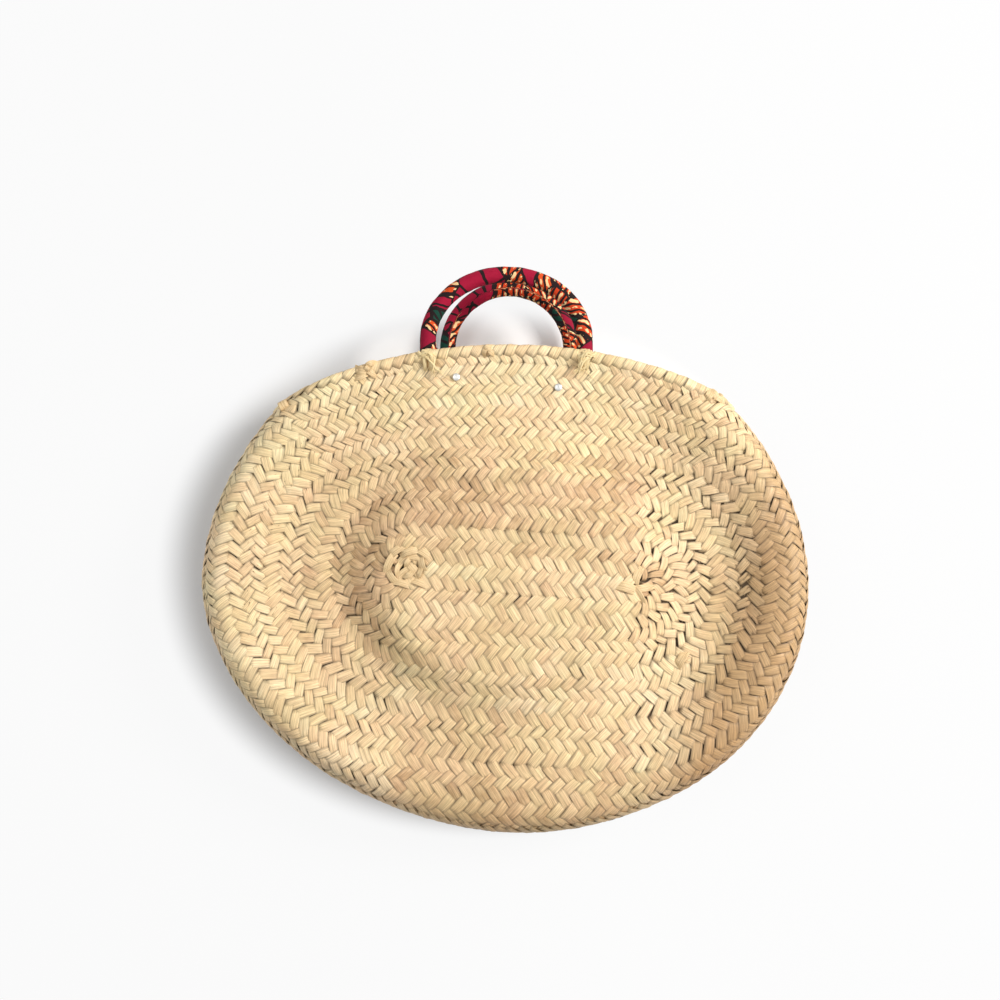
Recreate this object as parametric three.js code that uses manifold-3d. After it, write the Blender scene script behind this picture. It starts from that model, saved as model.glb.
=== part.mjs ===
// Oval straw tote bag, lying on its back with the mouth to +Y and the front panel up.
// Units are millimetres. The origin is on the resting plane, under the middle of the oval.
import * as THREE from 'three';
import Module from 'manifold-3d';
import { mergeVertices } from 'three/addons/utils/BufferGeometryUtils.js';

// Woven body.
const BODY_WIDTH = 461;
const BODY_BELOW = 190;
const BODY_ABOVE = 217;
const BODY_HALF_THICKNESS = 40;
const WALL = 3;
const BOTTOM_LEAN = 0.085;
const LEAN_SOFTENING = 30;
const OUTLINE_POWER_ABOVE = 1.85;
const OUTLINE_POWER_BELOW = 1.92;
const FRONT_FLATNESS = 20;
const BACK_FLATNESS = 5;
const EDGE_ROUNDNESS = 2.5;
const VALLEY_DEPTH = 8;
const VALLEY_SIDE_DEPTH = 13;
const VALLEY_START = 0.37;
const VALLEY_FLOOR = 0.57;
const VALLEY_RISE = 0.68;
const VALLEY_END = 0.97;
const DISH_SHARE = 0.86;
const REST_FLAT = 0.5;

// Mouth and its folded rim.
const MOUTH_TOP = 178;
const MOUTH_HALF_WIDTH = 172;
const MOUTH_DROP = 42;
const MOUTH_SHIFT = 1;
const RIM_DIAMETER = 5;

// Seams between the ovals and the side band.
const SEAM_HEIGHT = 20;
const CORD_DIAMETER = 2.4;

// Handles.
const FRONT_HANDLE_HALF_SPAN = 58.5;
const BACK_HANDLE_HALF_SPAN = 49;
const HANDLE_RISE = 48;
const HANDLE_SHIFT = 1.5;
const HANDLE_DIAMETER = 12.4;
const CORE_DIAMETER = 8.8;
const TAIL_WIDTH = 13;
const TAIL_THICKNESS = 5;
const TAIL_STRAIGHT = 17;

// Raffia lashings, corner ties and rivets.
const LASHING_WIDTH = 6;
const LASHING_THICKNESS = 1.5;
const LASHING_DROP = 15;
const TIE_HEIGHT = 6;
const TIE_THICKNESS = 1.5;
const RIVET_X = 38.5;
const LEFT_RIVET_DROP = 20.5;
const RIGHT_RIVET_DROP = 28;
const RIVET_HEAD_DIAMETER = 6;
const RIVET_HEAD_HEIGHT = 1.2;
const RIVET_SHANK_DIAMETER = 3;
const BURR_DIAMETER = 8;
const BURR_THICKNESS = 1;

// Clearance between pieces that touch.
const GAP = 0.3;

const wasm = await Module();
wasm.setup();

const STRAW = { color: 0xe2c891, roughness: 0.62, metalness: 0 };
const RAFFIA = { color: 0xeedcab, roughness: 0.6, metalness: 0 };
const CLOTH = { color: 0xb01e34, roughness: 0.8, metalness: 0 };
const ROPE = { color: 0xcdbb93, roughness: 0.9, metalness: 0 };
const METAL = { color: 0xcfcfcb, roughness: 0.35, metalness: 1 };

// A closed three.js geometry as a solid that can be cut and joined.
function solid(geometry) {
  const bare = geometry.clone();
  bare.deleteAttribute('normal');
  bare.deleteAttribute('uv');
  const merged = mergeVertices(bare, 1e-4);
  const vertProperties = new Float32Array(merged.attributes.position.array);
  const triVerts = new Uint32Array(merged.index.array);
  return new wasm.Manifold(new wasm.Mesh({ numProp: 3, vertProperties, triVerts }));
}

function geometryOf(body) {
  const mesh = body.getMesh();
  const geometry = new THREE.BufferGeometry();
  geometry.setAttribute('position', new THREE.BufferAttribute(mesh.vertProperties, 3));
  geometry.setIndex(new THREE.BufferAttribute(mesh.triVerts, 1));
  geometry.computeVertexNormals();
  return geometry;
}

const bag = new THREE.Group();
bag.name = 'straw_tote_bag';
const body = new THREE.Group();
body.position.z = BODY_HALF_THICKNESS - REST_FLAT;
bag.add(body);

function place(name, shape, look) {
  const geometry = shape.isBufferGeometry ? shape : geometryOf(shape);
  const mesh = new THREE.Mesh(geometry, new THREE.MeshStandardMaterial(look));
  mesh.name = name;
  body.add(mesh);
}

// Plan of the oval: how far out a point lies (1 on the outline), and the point at a given share.
// The hand-coiled oval is not quite even: its lower half leans to the right.
function lean(y) {
  return y < 0 ? BOTTOM_LEAN * (Math.hypot(y, LEAN_SOFTENING) - LEAN_SOFTENING) : 0;
}

function planPower(v) {
  return v >= 0 ? OUTLINE_POWER_ABOVE : OUTLINE_POWER_BELOW;
}

function planNorm(u, v, inset) {
  const power = planPower(v);
  const across = Math.abs(u) / (BODY_WIDTH / 2 - inset);
  const along = Math.abs(v) / ((v >= 0 ? BODY_ABOVE : BODY_BELOW) - inset);
  return (across ** power + along ** power) ** (1 / power);
}

function outwardness(x, y, inset) {
  return planNorm(x - lean(y), y, inset);
}

function planPoint(angle, share, inset) {
  const u = Math.cos(angle);
  const v = Math.sin(angle);
  const reach = share / planNorm(u, v, inset);
  return new THREE.Vector2(u * reach + lean(v * reach), v * reach);
}

// Height of the front and back skins over the middle plane of the bag.
function dome(share, flatness, inset) {
  const rest = Math.max(0, 1 - Math.min(1, share) ** flatness);
  return (BODY_HALF_THICKNESS - inset) * rest ** (1 / EDGE_ROUNDNESS);
}

function ease(value, low, high) {
  const t = Math.min(1, Math.max(0, (value - low) / (high - low)));
  return t * t * (3 - 2 * t);
}

// A sunk ring between the middle of the front and its rolled edge, deeper towards the sides.
function valley(share, cosine) {
  const depth = VALLEY_DEPTH + VALLEY_SIDE_DEPTH * cosine * cosine;
  const sunk = ease(share, VALLEY_START, VALLEY_FLOOR);
  return depth * sunk * (1 - ease(share, VALLEY_RISE, VALLEY_END));
}

function skinHeight(side, share, cosine, inset) {
  if (side > 0) return dome(share, FRONT_FLATNESS, inset) - valley(share, cosine);
  return -Math.min(dome(share, BACK_FLATNESS, inset), BODY_HALF_THICKNESS - REST_FLAT - inset);
}

function skinAt(side, x, y, inset) {
  const u = x - lean(y);
  return skinHeight(side, outwardness(x, y, inset), u / Math.max(1, Math.hypot(u, y)), inset);
}

// The filled cushion shape of the bag, drawn in by an inset.
function cushion(inset) {
  const geometry = new THREE.SphereGeometry(1, 48, 24).rotateX(Math.PI / 2);
  const position = geometry.attributes.position;
  for (let i = 0; i < position.count; i += 1) {
    const share = Math.min(1, Math.hypot(position.getX(i), position.getY(i)));
    const angle = Math.atan2(position.getY(i), position.getX(i));
    const plan = planPoint(angle, share, inset);
    const side = position.getZ(i) >= 0 ? 1 : -1;
    position.setXYZ(i, plan.x, plan.y, skinHeight(side, share, Math.cos(angle), inset));
  }
  return solid(geometry);
}

// Mouth: the body ends on an arc in plan.
const mouthRadius = (MOUTH_HALF_WIDTH ** 2 + MOUTH_DROP ** 2) / (2 * MOUTH_DROP);
const mouthCentreY = MOUTH_TOP - mouthRadius;

function mouthY(x, back) {
  return mouthCentreY + Math.sqrt((mouthRadius - back) ** 2 - (x - MOUTH_SHIFT) ** 2);
}

function block(width, depth, height, x, y, z) {
  return solid(new THREE.BoxGeometry(width, depth, height).translate(x, y, z));
}

function post(radius, height, x, y, z, sides) {
  const geometry = new THREE.CylinderGeometry(radius, radius, height, sides);
  return solid(geometry.rotateX(Math.PI / 2).translate(x, y, z));
}

const tall = BODY_HALF_THICKNESS * 4;
const wide = BODY_WIDTH * 2;
const shellRadius = mouthRadius - RIM_DIAMETER - GAP;
const mouthDisc = post(shellRadius, tall, MOUTH_SHIFT, mouthCentreY, 0, 200);
const shell = cushion(0).subtract(cushion(WALL)).intersect(mouthDisc);

// The rim follows the middle of the wall; its two lengths meet at the ends of the mouth.
const rimRadius = RIM_DIAMETER / 2;
const wallMiddle = WALL / 2;

function mouthEnd(sign) {
  let inner = 0;
  let outer = BODY_WIDTH / 2;
  for (let i = 0; i < 60; i += 1) {
    const x = (inner + outer) / 2;
    const past = outwardness(sign * x, mouthY(sign * x, rimRadius), wallMiddle) > 1;
    if (past) outer = x;
    else inner = x;
  }
  return sign * inner;
}

const leftEnd = mouthEnd(-1);
const rightEnd = mouthEnd(1);

function roundSection(radius, sides) {
  const points = [];
  for (let i = 0; i < sides; i += 1) {
    const angle = (2 * Math.PI * i) / sides;
    points.push(new THREE.Vector2(radius * Math.cos(angle), radius * Math.sin(angle)));
  }
  return new THREE.Shape(points);
}

function tube(curve, radius, sides, steps) {
  const section = roundSection(radius, sides);
  return new THREE.ExtrudeGeometry(section, { extrudePath: curve, steps, bevelEnabled: false });
}

function rimCurve(side) {
  const points = [];
  const count = 44;
  for (let i = 0; i <= count; i += 1) {
    const share = (1 - Math.cos((Math.PI * i) / count)) / 2;
    const x = leftEnd + (rightEnd - leftEnd) * share;
    const y = mouthY(x, rimRadius);
    const lift = i === 0 || i === count ? 0 : skinAt(side, x, y, wallMiddle);
    points.push(new THREE.Vector3(x, y, lift));
  }
  return new THREE.CatmullRomCurve3(points);
}

function rimLength(side) {
  const half = block(wide, wide, tall, 0, 0, side * (tall / 2 + GAP / 2));
  return solid(tube(rimCurve(side), rimRadius, 6, 52)).intersect(half);
}

place('front_rim', rimLength(1), STRAW);
place('back_rim', rimLength(-1), STRAW);

// Raffia tie round the meeting ends of the rim, at each end of the mouth.
const tieInner = rimRadius + 2.5 * GAP;
const tieOuter = tieInner + TIE_THICKNESS;

function ring(inner, outer, height) {
  const low = -height / 2;
  const high = height / 2;
  const profile = [[inner, low], [outer, low], [outer, high], [inner, high], [inner, low]];
  const points = profile.map(([r, z]) => new THREE.Vector2(r, z));
  return new THREE.LatheGeometry(points, 16).rotateX(Math.PI / 2);
}

const tieSpots = { left: leftEnd, right: rightEnd };
let tieRoom = null;
for (const [hand, x] of Object.entries(tieSpots)) {
  const y = mouthY(x, rimRadius);
  place(`${hand}_corner_tie`, ring(tieInner, tieOuter, TIE_HEIGHT).translate(x, y, 0), RAFFIA);
  const room = post(tieOuter + GAP, TIE_HEIGHT + 2 * GAP, x, y, 0, 16);
  tieRoom = tieRoom ? tieRoom.add(room) : room;
}

// Seam cords lie between each oval and the side band, from one end of the mouth to the other.
const cordRadius = CORD_DIAMETER / 2;

function seamShare(flatness) {
  const level = SEAM_HEIGHT / (BODY_HALF_THICKNESS - wallMiddle);
  return (1 - level ** EDGE_ROUNDNESS) ** (1 / flatness);
}

function seamReach(share, hand) {
  let under = 0;
  let over = Math.PI;
  for (let i = 0; i < 50; i += 1) {
    const sweep = (under + over) / 2;
    const spot = planPoint(-Math.PI / 2 + hand * sweep, share, wallMiddle);
    const fromCentre = Math.hypot(spot.x - MOUTH_SHIFT, spot.y - mouthCentreY);
    if (spot.y > 0 && fromCentre > shellRadius - GAP) over = sweep;
    else under = sweep;
  }
  return under;
}

function seamCurve(side) {
  const share = seamShare(side > 0 ? FRONT_FLATNESS : BACK_FLATNESS);
  const from = -Math.PI / 2 - seamReach(share, -1);
  const to = -Math.PI / 2 + seamReach(share, 1);
  const points = [];
  for (let i = 0; i <= 60; i += 1) {
    const spot = planPoint(from + ((to - from) * i) / 60, share, wallMiddle);
    points.push(new THREE.Vector3(spot.x, spot.y, side * SEAM_HEIGHT));
  }
  return new THREE.CatmullRomCurve3(points);
}

place('front_lacing_cord', tube(seamCurve(1), cordRadius, 5, 60), STRAW);
place('back_lacing_cord', tube(seamCurve(-1), cordRadius, 5, 60), STRAW);

// Woven pieces before their holes are made.
const seamRoom = cordRadius + GAP;
const bandHeight = 2 * (SEAM_HEIGHT - seamRoom);
const panelStart = SEAM_HEIGHT + seamRoom;
const dishShape = new THREE.Shape();
for (let i = 0; i < 64; i += 1) {
  const spot = planPoint((2 * Math.PI * i) / 64, DISH_SHARE, 0);
  if (i === 0) dishShape.moveTo(spot.x, spot.y);
  else dishShape.lineTo(spot.x, spot.y);
}
const dishRoom = solid(new THREE.ExtrudeGeometry(dishShape, { depth: tall, bevelEnabled: false }));
const bandBlock = block(wide, wide, bandHeight, 0, 0, 0).subtract(dishRoom);
place('side_band', shell.intersect(bandBlock).subtract(tieRoom), STRAW);
const panels = new Map();
for (const side of [1, -1]) {
  const half = block(wide, wide, tall, 0, 0, side * (panelStart + tall / 2));
  panels.set(side, shell.intersect(side > 0 ? half.add(dishRoom) : half));
}

// A flat strip of even width along three corners, with a round end.
function stripShape(start, bend, end, halfWidth) {
  const first = bend.clone().sub(start).normalize();
  const second = end.clone().sub(bend).normalize();
  const across = (d) => new THREE.Vector2(-d.y, d.x);
  const mitre = across(first).add(across(second)).normalize();
  const mitreLength = halfWidth / mitre.dot(across(first));
  const left = [
    start.clone().addScaledVector(across(first), halfWidth),
    bend.clone().addScaledVector(mitre, mitreLength),
    end.clone().addScaledVector(across(second), halfWidth),
  ];
  const right = [
    end.clone().addScaledVector(across(second), -halfWidth),
    bend.clone().addScaledVector(mitre, -mitreLength),
    start.clone().addScaledVector(across(first), -halfWidth),
  ];
  const round = [];
  for (let i = 1; i < 8; i += 1) {
    const angle = (Math.PI * i) / 8;
    const spot = end.clone().addScaledVector(across(second), halfWidth * Math.cos(angle));
    round.push(spot.addScaledVector(second, halfWidth * Math.sin(angle)));
  }
  return new THREE.Shape([...left, ...round, ...right]);
}

function extremeSkin(side, inset, spots, pick) {
  return pick(...spots.map(([x, y]) => side * skinAt(side, x, y, inset)));
}

// One leg's fastening: the tail inside the wall, the raffia lashing over the rim, and the rivet.
function fastenLeg(side, hand, name, halfSpan) {
  const legX = HANDLE_SHIFT + hand * halfSpan;
  const legSpots = [-0.5, -0.25, 0, 0.25, 0.5].map((t) => legX + t * TAIL_WIDTH);
  const rimY = Math.max(...legSpots.map((x) => mouthY(x, 0)));
  const rivetDrop = hand < 0 ? LEFT_RIVET_DROP : RIGHT_RIVET_DROP;
  const rivetX = HANDLE_SHIFT + hand * RIVET_X;
  const rivetY = rimY - rivetDrop;
  const spots = [];
  for (let i = 0; i <= 4; i += 1) {
    const y = rimY - (i / 4) * (rivetDrop + TAIL_WIDTH / 2);
    for (let j = 0; j <= 4; j += 1) {
      spots.push([rivetX + ((legX - rivetX) * j) / 4 + hand * (j - 2) * (TAIL_WIDTH / 4), y]);
    }
  }
  const rimSpots = legSpots.map((x) => [x, mouthY(x, rimRadius)]);
  const rimLow = extremeSkin(side, wallMiddle, rimSpots, Math.min) - rimRadius;
  const rimHigh = extremeSkin(side, wallMiddle, rimSpots, Math.max) + rimRadius;
  const inner = Math.min(extremeSkin(side, WALL, spots, Math.min), rimLow);
  const tailTop = inner - GAP;
  const tailLow = tailTop - TAIL_THICKNESS;
  const tailMiddle = (tailTop + tailLow) / 2;

  const lashSpots = [];
  for (const t of [0, 0.25, 0.5, 0.75, 1]) {
    for (const x of legSpots) lashSpots.push([x, rimY - t * LASHING_DROP]);
  }
  const outer = Math.max(extremeSkin(side, 0, lashSpots, Math.max), rimHigh);
  const loopTop = rimY + GAP;
  const loopLow = rimY - LASHING_DROP;
  const loopBase = Math.min(side * (tailLow - GAP), side * (outer + GAP));
  const loopCrest = Math.max(side * (tailLow - GAP), side * (outer + GAP));
  const box = (grow) => [
    [loopLow - grow, loopBase - grow],
    [loopTop + grow, loopBase - grow],
    [loopTop + grow, loopCrest + grow],
    [loopLow - grow, loopCrest + grow],
  ].map(([y, z]) => new THREE.Vector2(y, z));
  const loop = new THREE.Shape(box(LASHING_THICKNESS));
  loop.holes.push(new THREE.Path(box(0)));
  const lashing = new THREE.ExtrudeGeometry(loop, { depth: LASHING_WIDTH, bevelEnabled: false });
  const along = new THREE.Vector3(0, 1, 0);
  const up = new THREE.Vector3(0, 0, 1);
  const sideways = new THREE.Vector3(1, 0, 0);
  lashing.applyMatrix4(new THREE.Matrix4().makeBasis(along, up, sideways));
  lashing.translate(legX - LASHING_WIDTH / 2, 0, 0);
  place(`${name}_lashing`, lashing, RAFFIA);
  const slotY = loopLow - LASHING_THICKNESS / 2;
  const slotDepth = LASHING_THICKNESS + 2 * GAP;
  const slot = block(LASHING_WIDTH + 2 * GAP, slotDepth, tall, legX, slotY, side * (tall / 2));

  const start = new THREE.Vector2(legX, rimY - GAP / 2);
  const bend = new THREE.Vector2(legX, rimY - TAIL_STRAIGHT);
  const end = new THREE.Vector2(rivetX, rivetY);
  const strip = stripShape(start, bend, end, TAIL_WIDTH / 2);
  const tail = new THREE.ExtrudeGeometry(strip, { depth: TAIL_THICKNESS, bevelEnabled: false });
  tail.translate(0, 0, side > 0 ? tailLow : -tailTop);
  const hole = post(RIVET_SHANK_DIAMETER / 2 + GAP, tall, rivetX, rivetY, side * (tall / 2), 12);
  place(`${name}_tail`, solid(tail).subtract(slot).subtract(hole), CLOTH);

  const headRadius = RIVET_HEAD_DIAMETER / 2;
  const shankRadius = RIVET_SHANK_DIAMETER / 2;
  const headSpots = [[0, 0], [2, 0], [-2, 0], [0, 2], [0, -2]];
  const under = headSpots.map(([i, j]) => [rivetX + i * headRadius, rivetY + j * headRadius]);
  const seat = extremeSkin(side, 0, under, Math.max) + GAP;
  const burrTop = tailLow - GAP;
  const burrLow = burrTop - BURR_THICKNESS;
  const clinch = burrLow - GAP;
  const clinchRadius = (shankRadius + BURR_DIAMETER / 2) / 2;
  const profile = [[0, clinch - 0.8], [clinchRadius, clinch - 0.8], [clinchRadius, clinch]];
  profile.push([shankRadius, clinch], [shankRadius, seat], [headRadius, seat]);
  for (let i = 1; i < 4; i += 1) {
    const angle = (Math.PI / 2) * (i / 4);
    profile.push([headRadius * Math.cos(angle), seat + RIVET_HEAD_HEIGHT * Math.sin(angle)]);
  }
  profile.push([0, seat + RIVET_HEAD_HEIGHT]);
  const rivet = new THREE.LatheGeometry(profile.map(([r, z]) => new THREE.Vector2(r, z)), 12);
  rivet.rotateX((side * Math.PI) / 2).translate(rivetX, rivetY, 0);
  place(`${name}_rivet`, rivet, METAL);
  const burr = ring(shankRadius + GAP, BURR_DIAMETER / 2, BURR_THICKNESS);
  burr.translate(rivetX, rivetY, side * (burrTop - BURR_THICKNESS / 2));
  place(`${name}_burr`, burr, METAL);

  panels.set(side, panels.get(side).subtract(slot).subtract(hole));
  return { rimY, tailMiddle };
}

// A handle: an arch over the rim with a rope core in a cloth sleeve, and ball-shaped leg ends
// that turn just clear of the lashings.
const tubeRadius = HANDLE_DIAMETER / 2;
const coreRadius = CORE_DIAMETER / 2;

class HandleCurve extends THREE.Curve {
  constructor(hingeY, hingeZ, halfSpan, tailLength) {
    super();
    this.hingeY = hingeY;
    this.hingeZ = hingeZ;
    this.halfSpan = halfSpan;
    this.tailLength = tailLength;
  }

  archPoint(angle) {
    const x = HANDLE_SHIFT + this.halfSpan * Math.cos(angle);
    return new THREE.Vector3(x, this.hingeY + HANDLE_RISE * Math.sin(angle), this.hingeZ);
  }

  getPoint(t, target = new THREE.Vector3()) {
    const share = this.tailLength / (Math.PI * HANDLE_RISE + 2 * this.tailLength);
    if (t < share) {
      target.copy(this.archPoint(0));
      target.y -= this.tailLength * (1 - t / share);
      return target;
    }
    if (t > 1 - share) {
      target.copy(this.archPoint(Math.PI));
      target.y -= this.tailLength * ((t - 1 + share) / share);
      return target;
    }
    return target.copy(this.archPoint((Math.PI * (t - share)) / (1 - 2 * share)));
  }
}

function makeHandle(side, name, halfSpan) {
  const left = fastenLeg(side, -1, `${name}_left`, halfSpan);
  const right = fastenLeg(side, 1, `${name}_right`, halfSpan);
  const hingeY = Math.max(left.rimY, right.rimY) + 2 * GAP + LASHING_THICKNESS + tubeRadius;
  const hingeZ = side * Math.min(left.tailMiddle, right.tailMiddle);
  const arch = new HandleCurve(hingeY, hingeZ, halfSpan, 0);
  const through = new HandleCurve(hingeY, hingeZ, halfSpan, 2 * tubeRadius);
  let outer = solid(tube(arch, tubeRadius, 10, 26));
  for (const hand of [-1, 1]) {
    const ball = new THREE.SphereGeometry(tubeRadius, 10, 6).rotateY(Math.PI / 10);
    outer = outer.add(solid(ball.translate(HANDLE_SHIFT + hand * halfSpan, hingeY, hingeZ)));
  }
  const bore = solid(tube(through, coreRadius + GAP, 10, 30));
  const rope = solid(tube(through, coreRadius, 10, 30));
  place(`${name}_handle_sleeve`, outer.subtract(bore), CLOTH);
  place(`${name}_handle_core`, outer.intersect(rope), ROPE);
}

makeHandle(1, 'front', FRONT_HANDLE_HALF_SPAN);
makeHandle(-1, 'back', BACK_HANDLE_HALF_SPAN);
place('front_panel', panels.get(1), STRAW);
place('back_panel', panels.get(-1), STRAW);

export default bag;
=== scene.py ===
import math
import bmesh
import bpy
import numpy as np
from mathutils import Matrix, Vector


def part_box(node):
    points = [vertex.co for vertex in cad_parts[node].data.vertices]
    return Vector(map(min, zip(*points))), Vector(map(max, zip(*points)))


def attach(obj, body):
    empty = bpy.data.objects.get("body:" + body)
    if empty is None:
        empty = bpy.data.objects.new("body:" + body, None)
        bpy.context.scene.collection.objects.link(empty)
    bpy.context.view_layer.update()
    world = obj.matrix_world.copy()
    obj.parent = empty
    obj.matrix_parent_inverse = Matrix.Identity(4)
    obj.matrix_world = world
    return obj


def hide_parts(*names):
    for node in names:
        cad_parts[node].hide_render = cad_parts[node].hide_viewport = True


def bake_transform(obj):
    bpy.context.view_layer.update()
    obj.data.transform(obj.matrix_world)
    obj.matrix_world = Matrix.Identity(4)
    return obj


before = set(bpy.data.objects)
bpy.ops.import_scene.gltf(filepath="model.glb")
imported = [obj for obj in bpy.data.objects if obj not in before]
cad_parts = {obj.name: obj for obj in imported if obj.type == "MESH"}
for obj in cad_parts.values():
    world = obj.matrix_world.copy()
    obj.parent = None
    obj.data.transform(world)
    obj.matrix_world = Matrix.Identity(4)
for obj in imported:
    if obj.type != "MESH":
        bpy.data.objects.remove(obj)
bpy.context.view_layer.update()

# Stage: the bag lies on its back on a white table and is seen from almost straight above,
# from a little towards its bottom edge. A broad soft lamp stands to the right.
CAMERA_AIM = Vector((-0.004, 0.063, 0.0395))
CAMERA_LIFT = math.radians(86.7)
CAMERA_REACH = 1.15
CAMERA_LENS = 53.6
SENSOR_WIDTH = 36.0
ROOM_COLOUR = (0.96, 0.975, 1.0, 1.0)
ROOM_LIGHT = 0.33
ROOM_WHITE = 0.95
TABLE_REACH = 6.0
TABLE_LEVEL = -0.0006
TABLE_ROUGHNESS = 0.9
TABLE_WHITE = (0.97, 0.97, 0.97, 1.0)
TABLE_CORNERS = ((-1, -1), (1, -1), (1, 1), (-1, 1))
# painted shadow: the table's colour is darker to the left, where the bag's shadow falls
TABLE_SHADOW_TONES = (-0.15, 0.10, 0.72, 0.92)
SHADOW_MIDDLE = (-0.02, 0.01)
SHADOW_REACH = (0.225, 0.185)
GLOW_RISE = (0.99, 1.16, 0.0, 0.95)
scene = bpy.context.scene
scene.view_settings.view_transform = "Standard"


def put_in(name, data):
    thing = bpy.data.objects.new(name, data)
    scene.collection.objects.link(thing)
    return thing


def aim_at(thing, place, target):
    thing.location = place
    thing.rotation_euler = (Vector(target) - Vector(place)).to_track_quat("-Z", "Y").to_euler()


def soft_lamp(name, place, target, size, watts, colour):
    lamp = bpy.data.lights.new(name, "AREA")
    lamp.shape = "DISK"
    lamp.size = size
    lamp.energy = watts
    lamp.color = colour
    aim_at(put_in(name, lamp), place, target)


def feed(tree, value, socket):
    """Link a node, or one of its outputs, to a socket, or set the socket to a value."""
    if isinstance(value, bpy.types.Node):
        value = next(output for output in value.outputs if output.enabled)
    if isinstance(value, bpy.types.NodeSocket):
        tree.links.new(value, socket)
    else:
        socket.default_value = value


def add_node(tree, kind, inputs=(), **settings):
    node = tree.nodes.new(kind)
    for name, value in settings.items():
        setattr(node, name, value)
    for name, value in dict(inputs).items():
        feed(tree, value, node.inputs[name])
    return node


def sum_up(tree, operation, *values):
    return add_node(tree, "ShaderNodeMath", dict(enumerate(values)), operation=operation)


def vector_sum(tree, operation, *values):
    return add_node(tree, "ShaderNodeVectorMath", dict(enumerate(values)), operation=operation)


def scaled(tree, vector, factor):
    return add_node(tree, "ShaderNodeVectorMath", {0: vector, "Scale": factor}, operation="SCALE")


def ranged(tree, value, low, high, bottom, top, **settings):
    limits = {"From Min": low, "From Max": high, "To Min": bottom, "To Max": top}
    return add_node(tree, "ShaderNodeMapRange", {"Value": value, **limits}, **settings)


def own_place(tree):
    return add_node(tree, "ShaderNodeTexCoord").outputs["Object"]


def parts_of(tree, vector):
    return add_node(tree, "ShaderNodeSeparateXYZ", {0: vector}).outputs


def met_by_eye(tree):
    """1 for what meets the eye, straight on or by a mirror or glass, and 0 for light on its way round."""
    rays = add_node(tree, "ShaderNodeLightPath").outputs
    seen = sum_up(tree, "MAXIMUM", rays["Is Camera Ray"], rays["Is Glossy Ray"])
    return sum_up(tree, "MAXIMUM", seen, rays["Is Transmission Ray"])


def new_paint(name, **constants):
    """A material, its tree and its shader, with what is the same all over set on the shader."""
    material = bpy.data.materials.new(name)
    material.use_nodes = True
    shader = material.node_tree.nodes["Principled BSDF"]
    for socket, value in constants.items():
        shader.inputs[socket.replace("_", " ")].default_value = value
    return material, material.node_tree, shader.inputs


camera = bpy.data.cameras.new("camera")
camera.sensor_width = SENSOR_WIDTH
camera.lens = CAMERA_LENS
scene.camera = put_in("camera", camera)
camera_way = Vector((0.0, -math.cos(CAMERA_LIFT), math.sin(CAMERA_LIFT)))
aim_at(scene.camera, CAMERA_AIM + CAMERA_REACH * camera_way, CAMERA_AIM)
soft_lamp("window", place=(1.5, 0.5, 1.3), target=(-0.15, 0.0, 0.0),
          size=0.7, watts=45.3, colour=(1.0, 0.98, 0.955))
soft_lamp("fill", place=(-0.9, 0.4, 1.7), target=(0.0, 0.0, 0.0),
          size=1.2, watts=12.0, colour=(0.98, 0.99, 1.0))

scene.world = bpy.data.worlds.new("room")
scene.world.use_nodes = True
room = scene.world.node_tree
sky = room.nodes["Background"].inputs
sky["Color"].default_value = ROOM_COLOUR
feed(room, ranged(room, met_by_eye(room), 0.0, 1.0, ROOM_LIGHT, ROOM_WHITE), sky["Strength"])

# the table keeps the bag's shadow, its colour is darker to the left as painted shadow, and past an oval round
# the bag it glows bright to the eye, a painted light over the outer part of the shadow
table_mesh = bpy.data.meshes.new("table")
table_mesh.from_pydata(
    [(x * TABLE_REACH, y * TABLE_REACH, TABLE_LEVEL) for x, y in TABLE_CORNERS], [], [(0, 1, 2, 3)])
table = put_in("table", table_mesh)
table_paint, table_tree, table_sockets = new_paint("table_paint", Roughness=TABLE_ROUGHNESS)
table_mesh.materials.append(table_paint)
table_place = own_place(table_tree)
# painted shadow: the table's own colour darkens towards the left of the bag
table_painted_shadow = ranged(table_tree, parts_of(table_tree, table_place)["X"], *TABLE_SHADOW_TONES)
feed(table_tree, table_painted_shadow, table_sockets["Base Color"])
shadow_share = (1.0 / SHADOW_REACH[0], 1.0 / SHADOW_REACH[1], 0.0)
shadow_shift = (-SHADOW_MIDDLE[0] / SHADOW_REACH[0], -SHADOW_MIDDLE[1] / SHADOW_REACH[1], 0.0)
table_away = vector_sum(table_tree, "LENGTH", vector_sum(
    table_tree, "MULTIPLY_ADD", table_place, shadow_share, shadow_shift))
# painted light: beyond the oval the table glows white to the eye and covers the outer part of its real shadow
table_glow = ranged(table_tree, table_away, *GLOW_RISE, interpolation_type="SMOOTHSTEP")
table_mix = add_node(table_tree, "ShaderNodeMixShader", {
    "Fac": sum_up(table_tree, "MULTIPLY", met_by_eye(table_tree), table_glow),
    1: table_tree.nodes["Principled BSDF"],
    2: add_node(table_tree, "ShaderNodeEmission", {"Color": TABLE_WHITE})})
feed(table_tree, table_mix, table_tree.nodes["Material Output"].inputs["Surface"])


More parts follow.
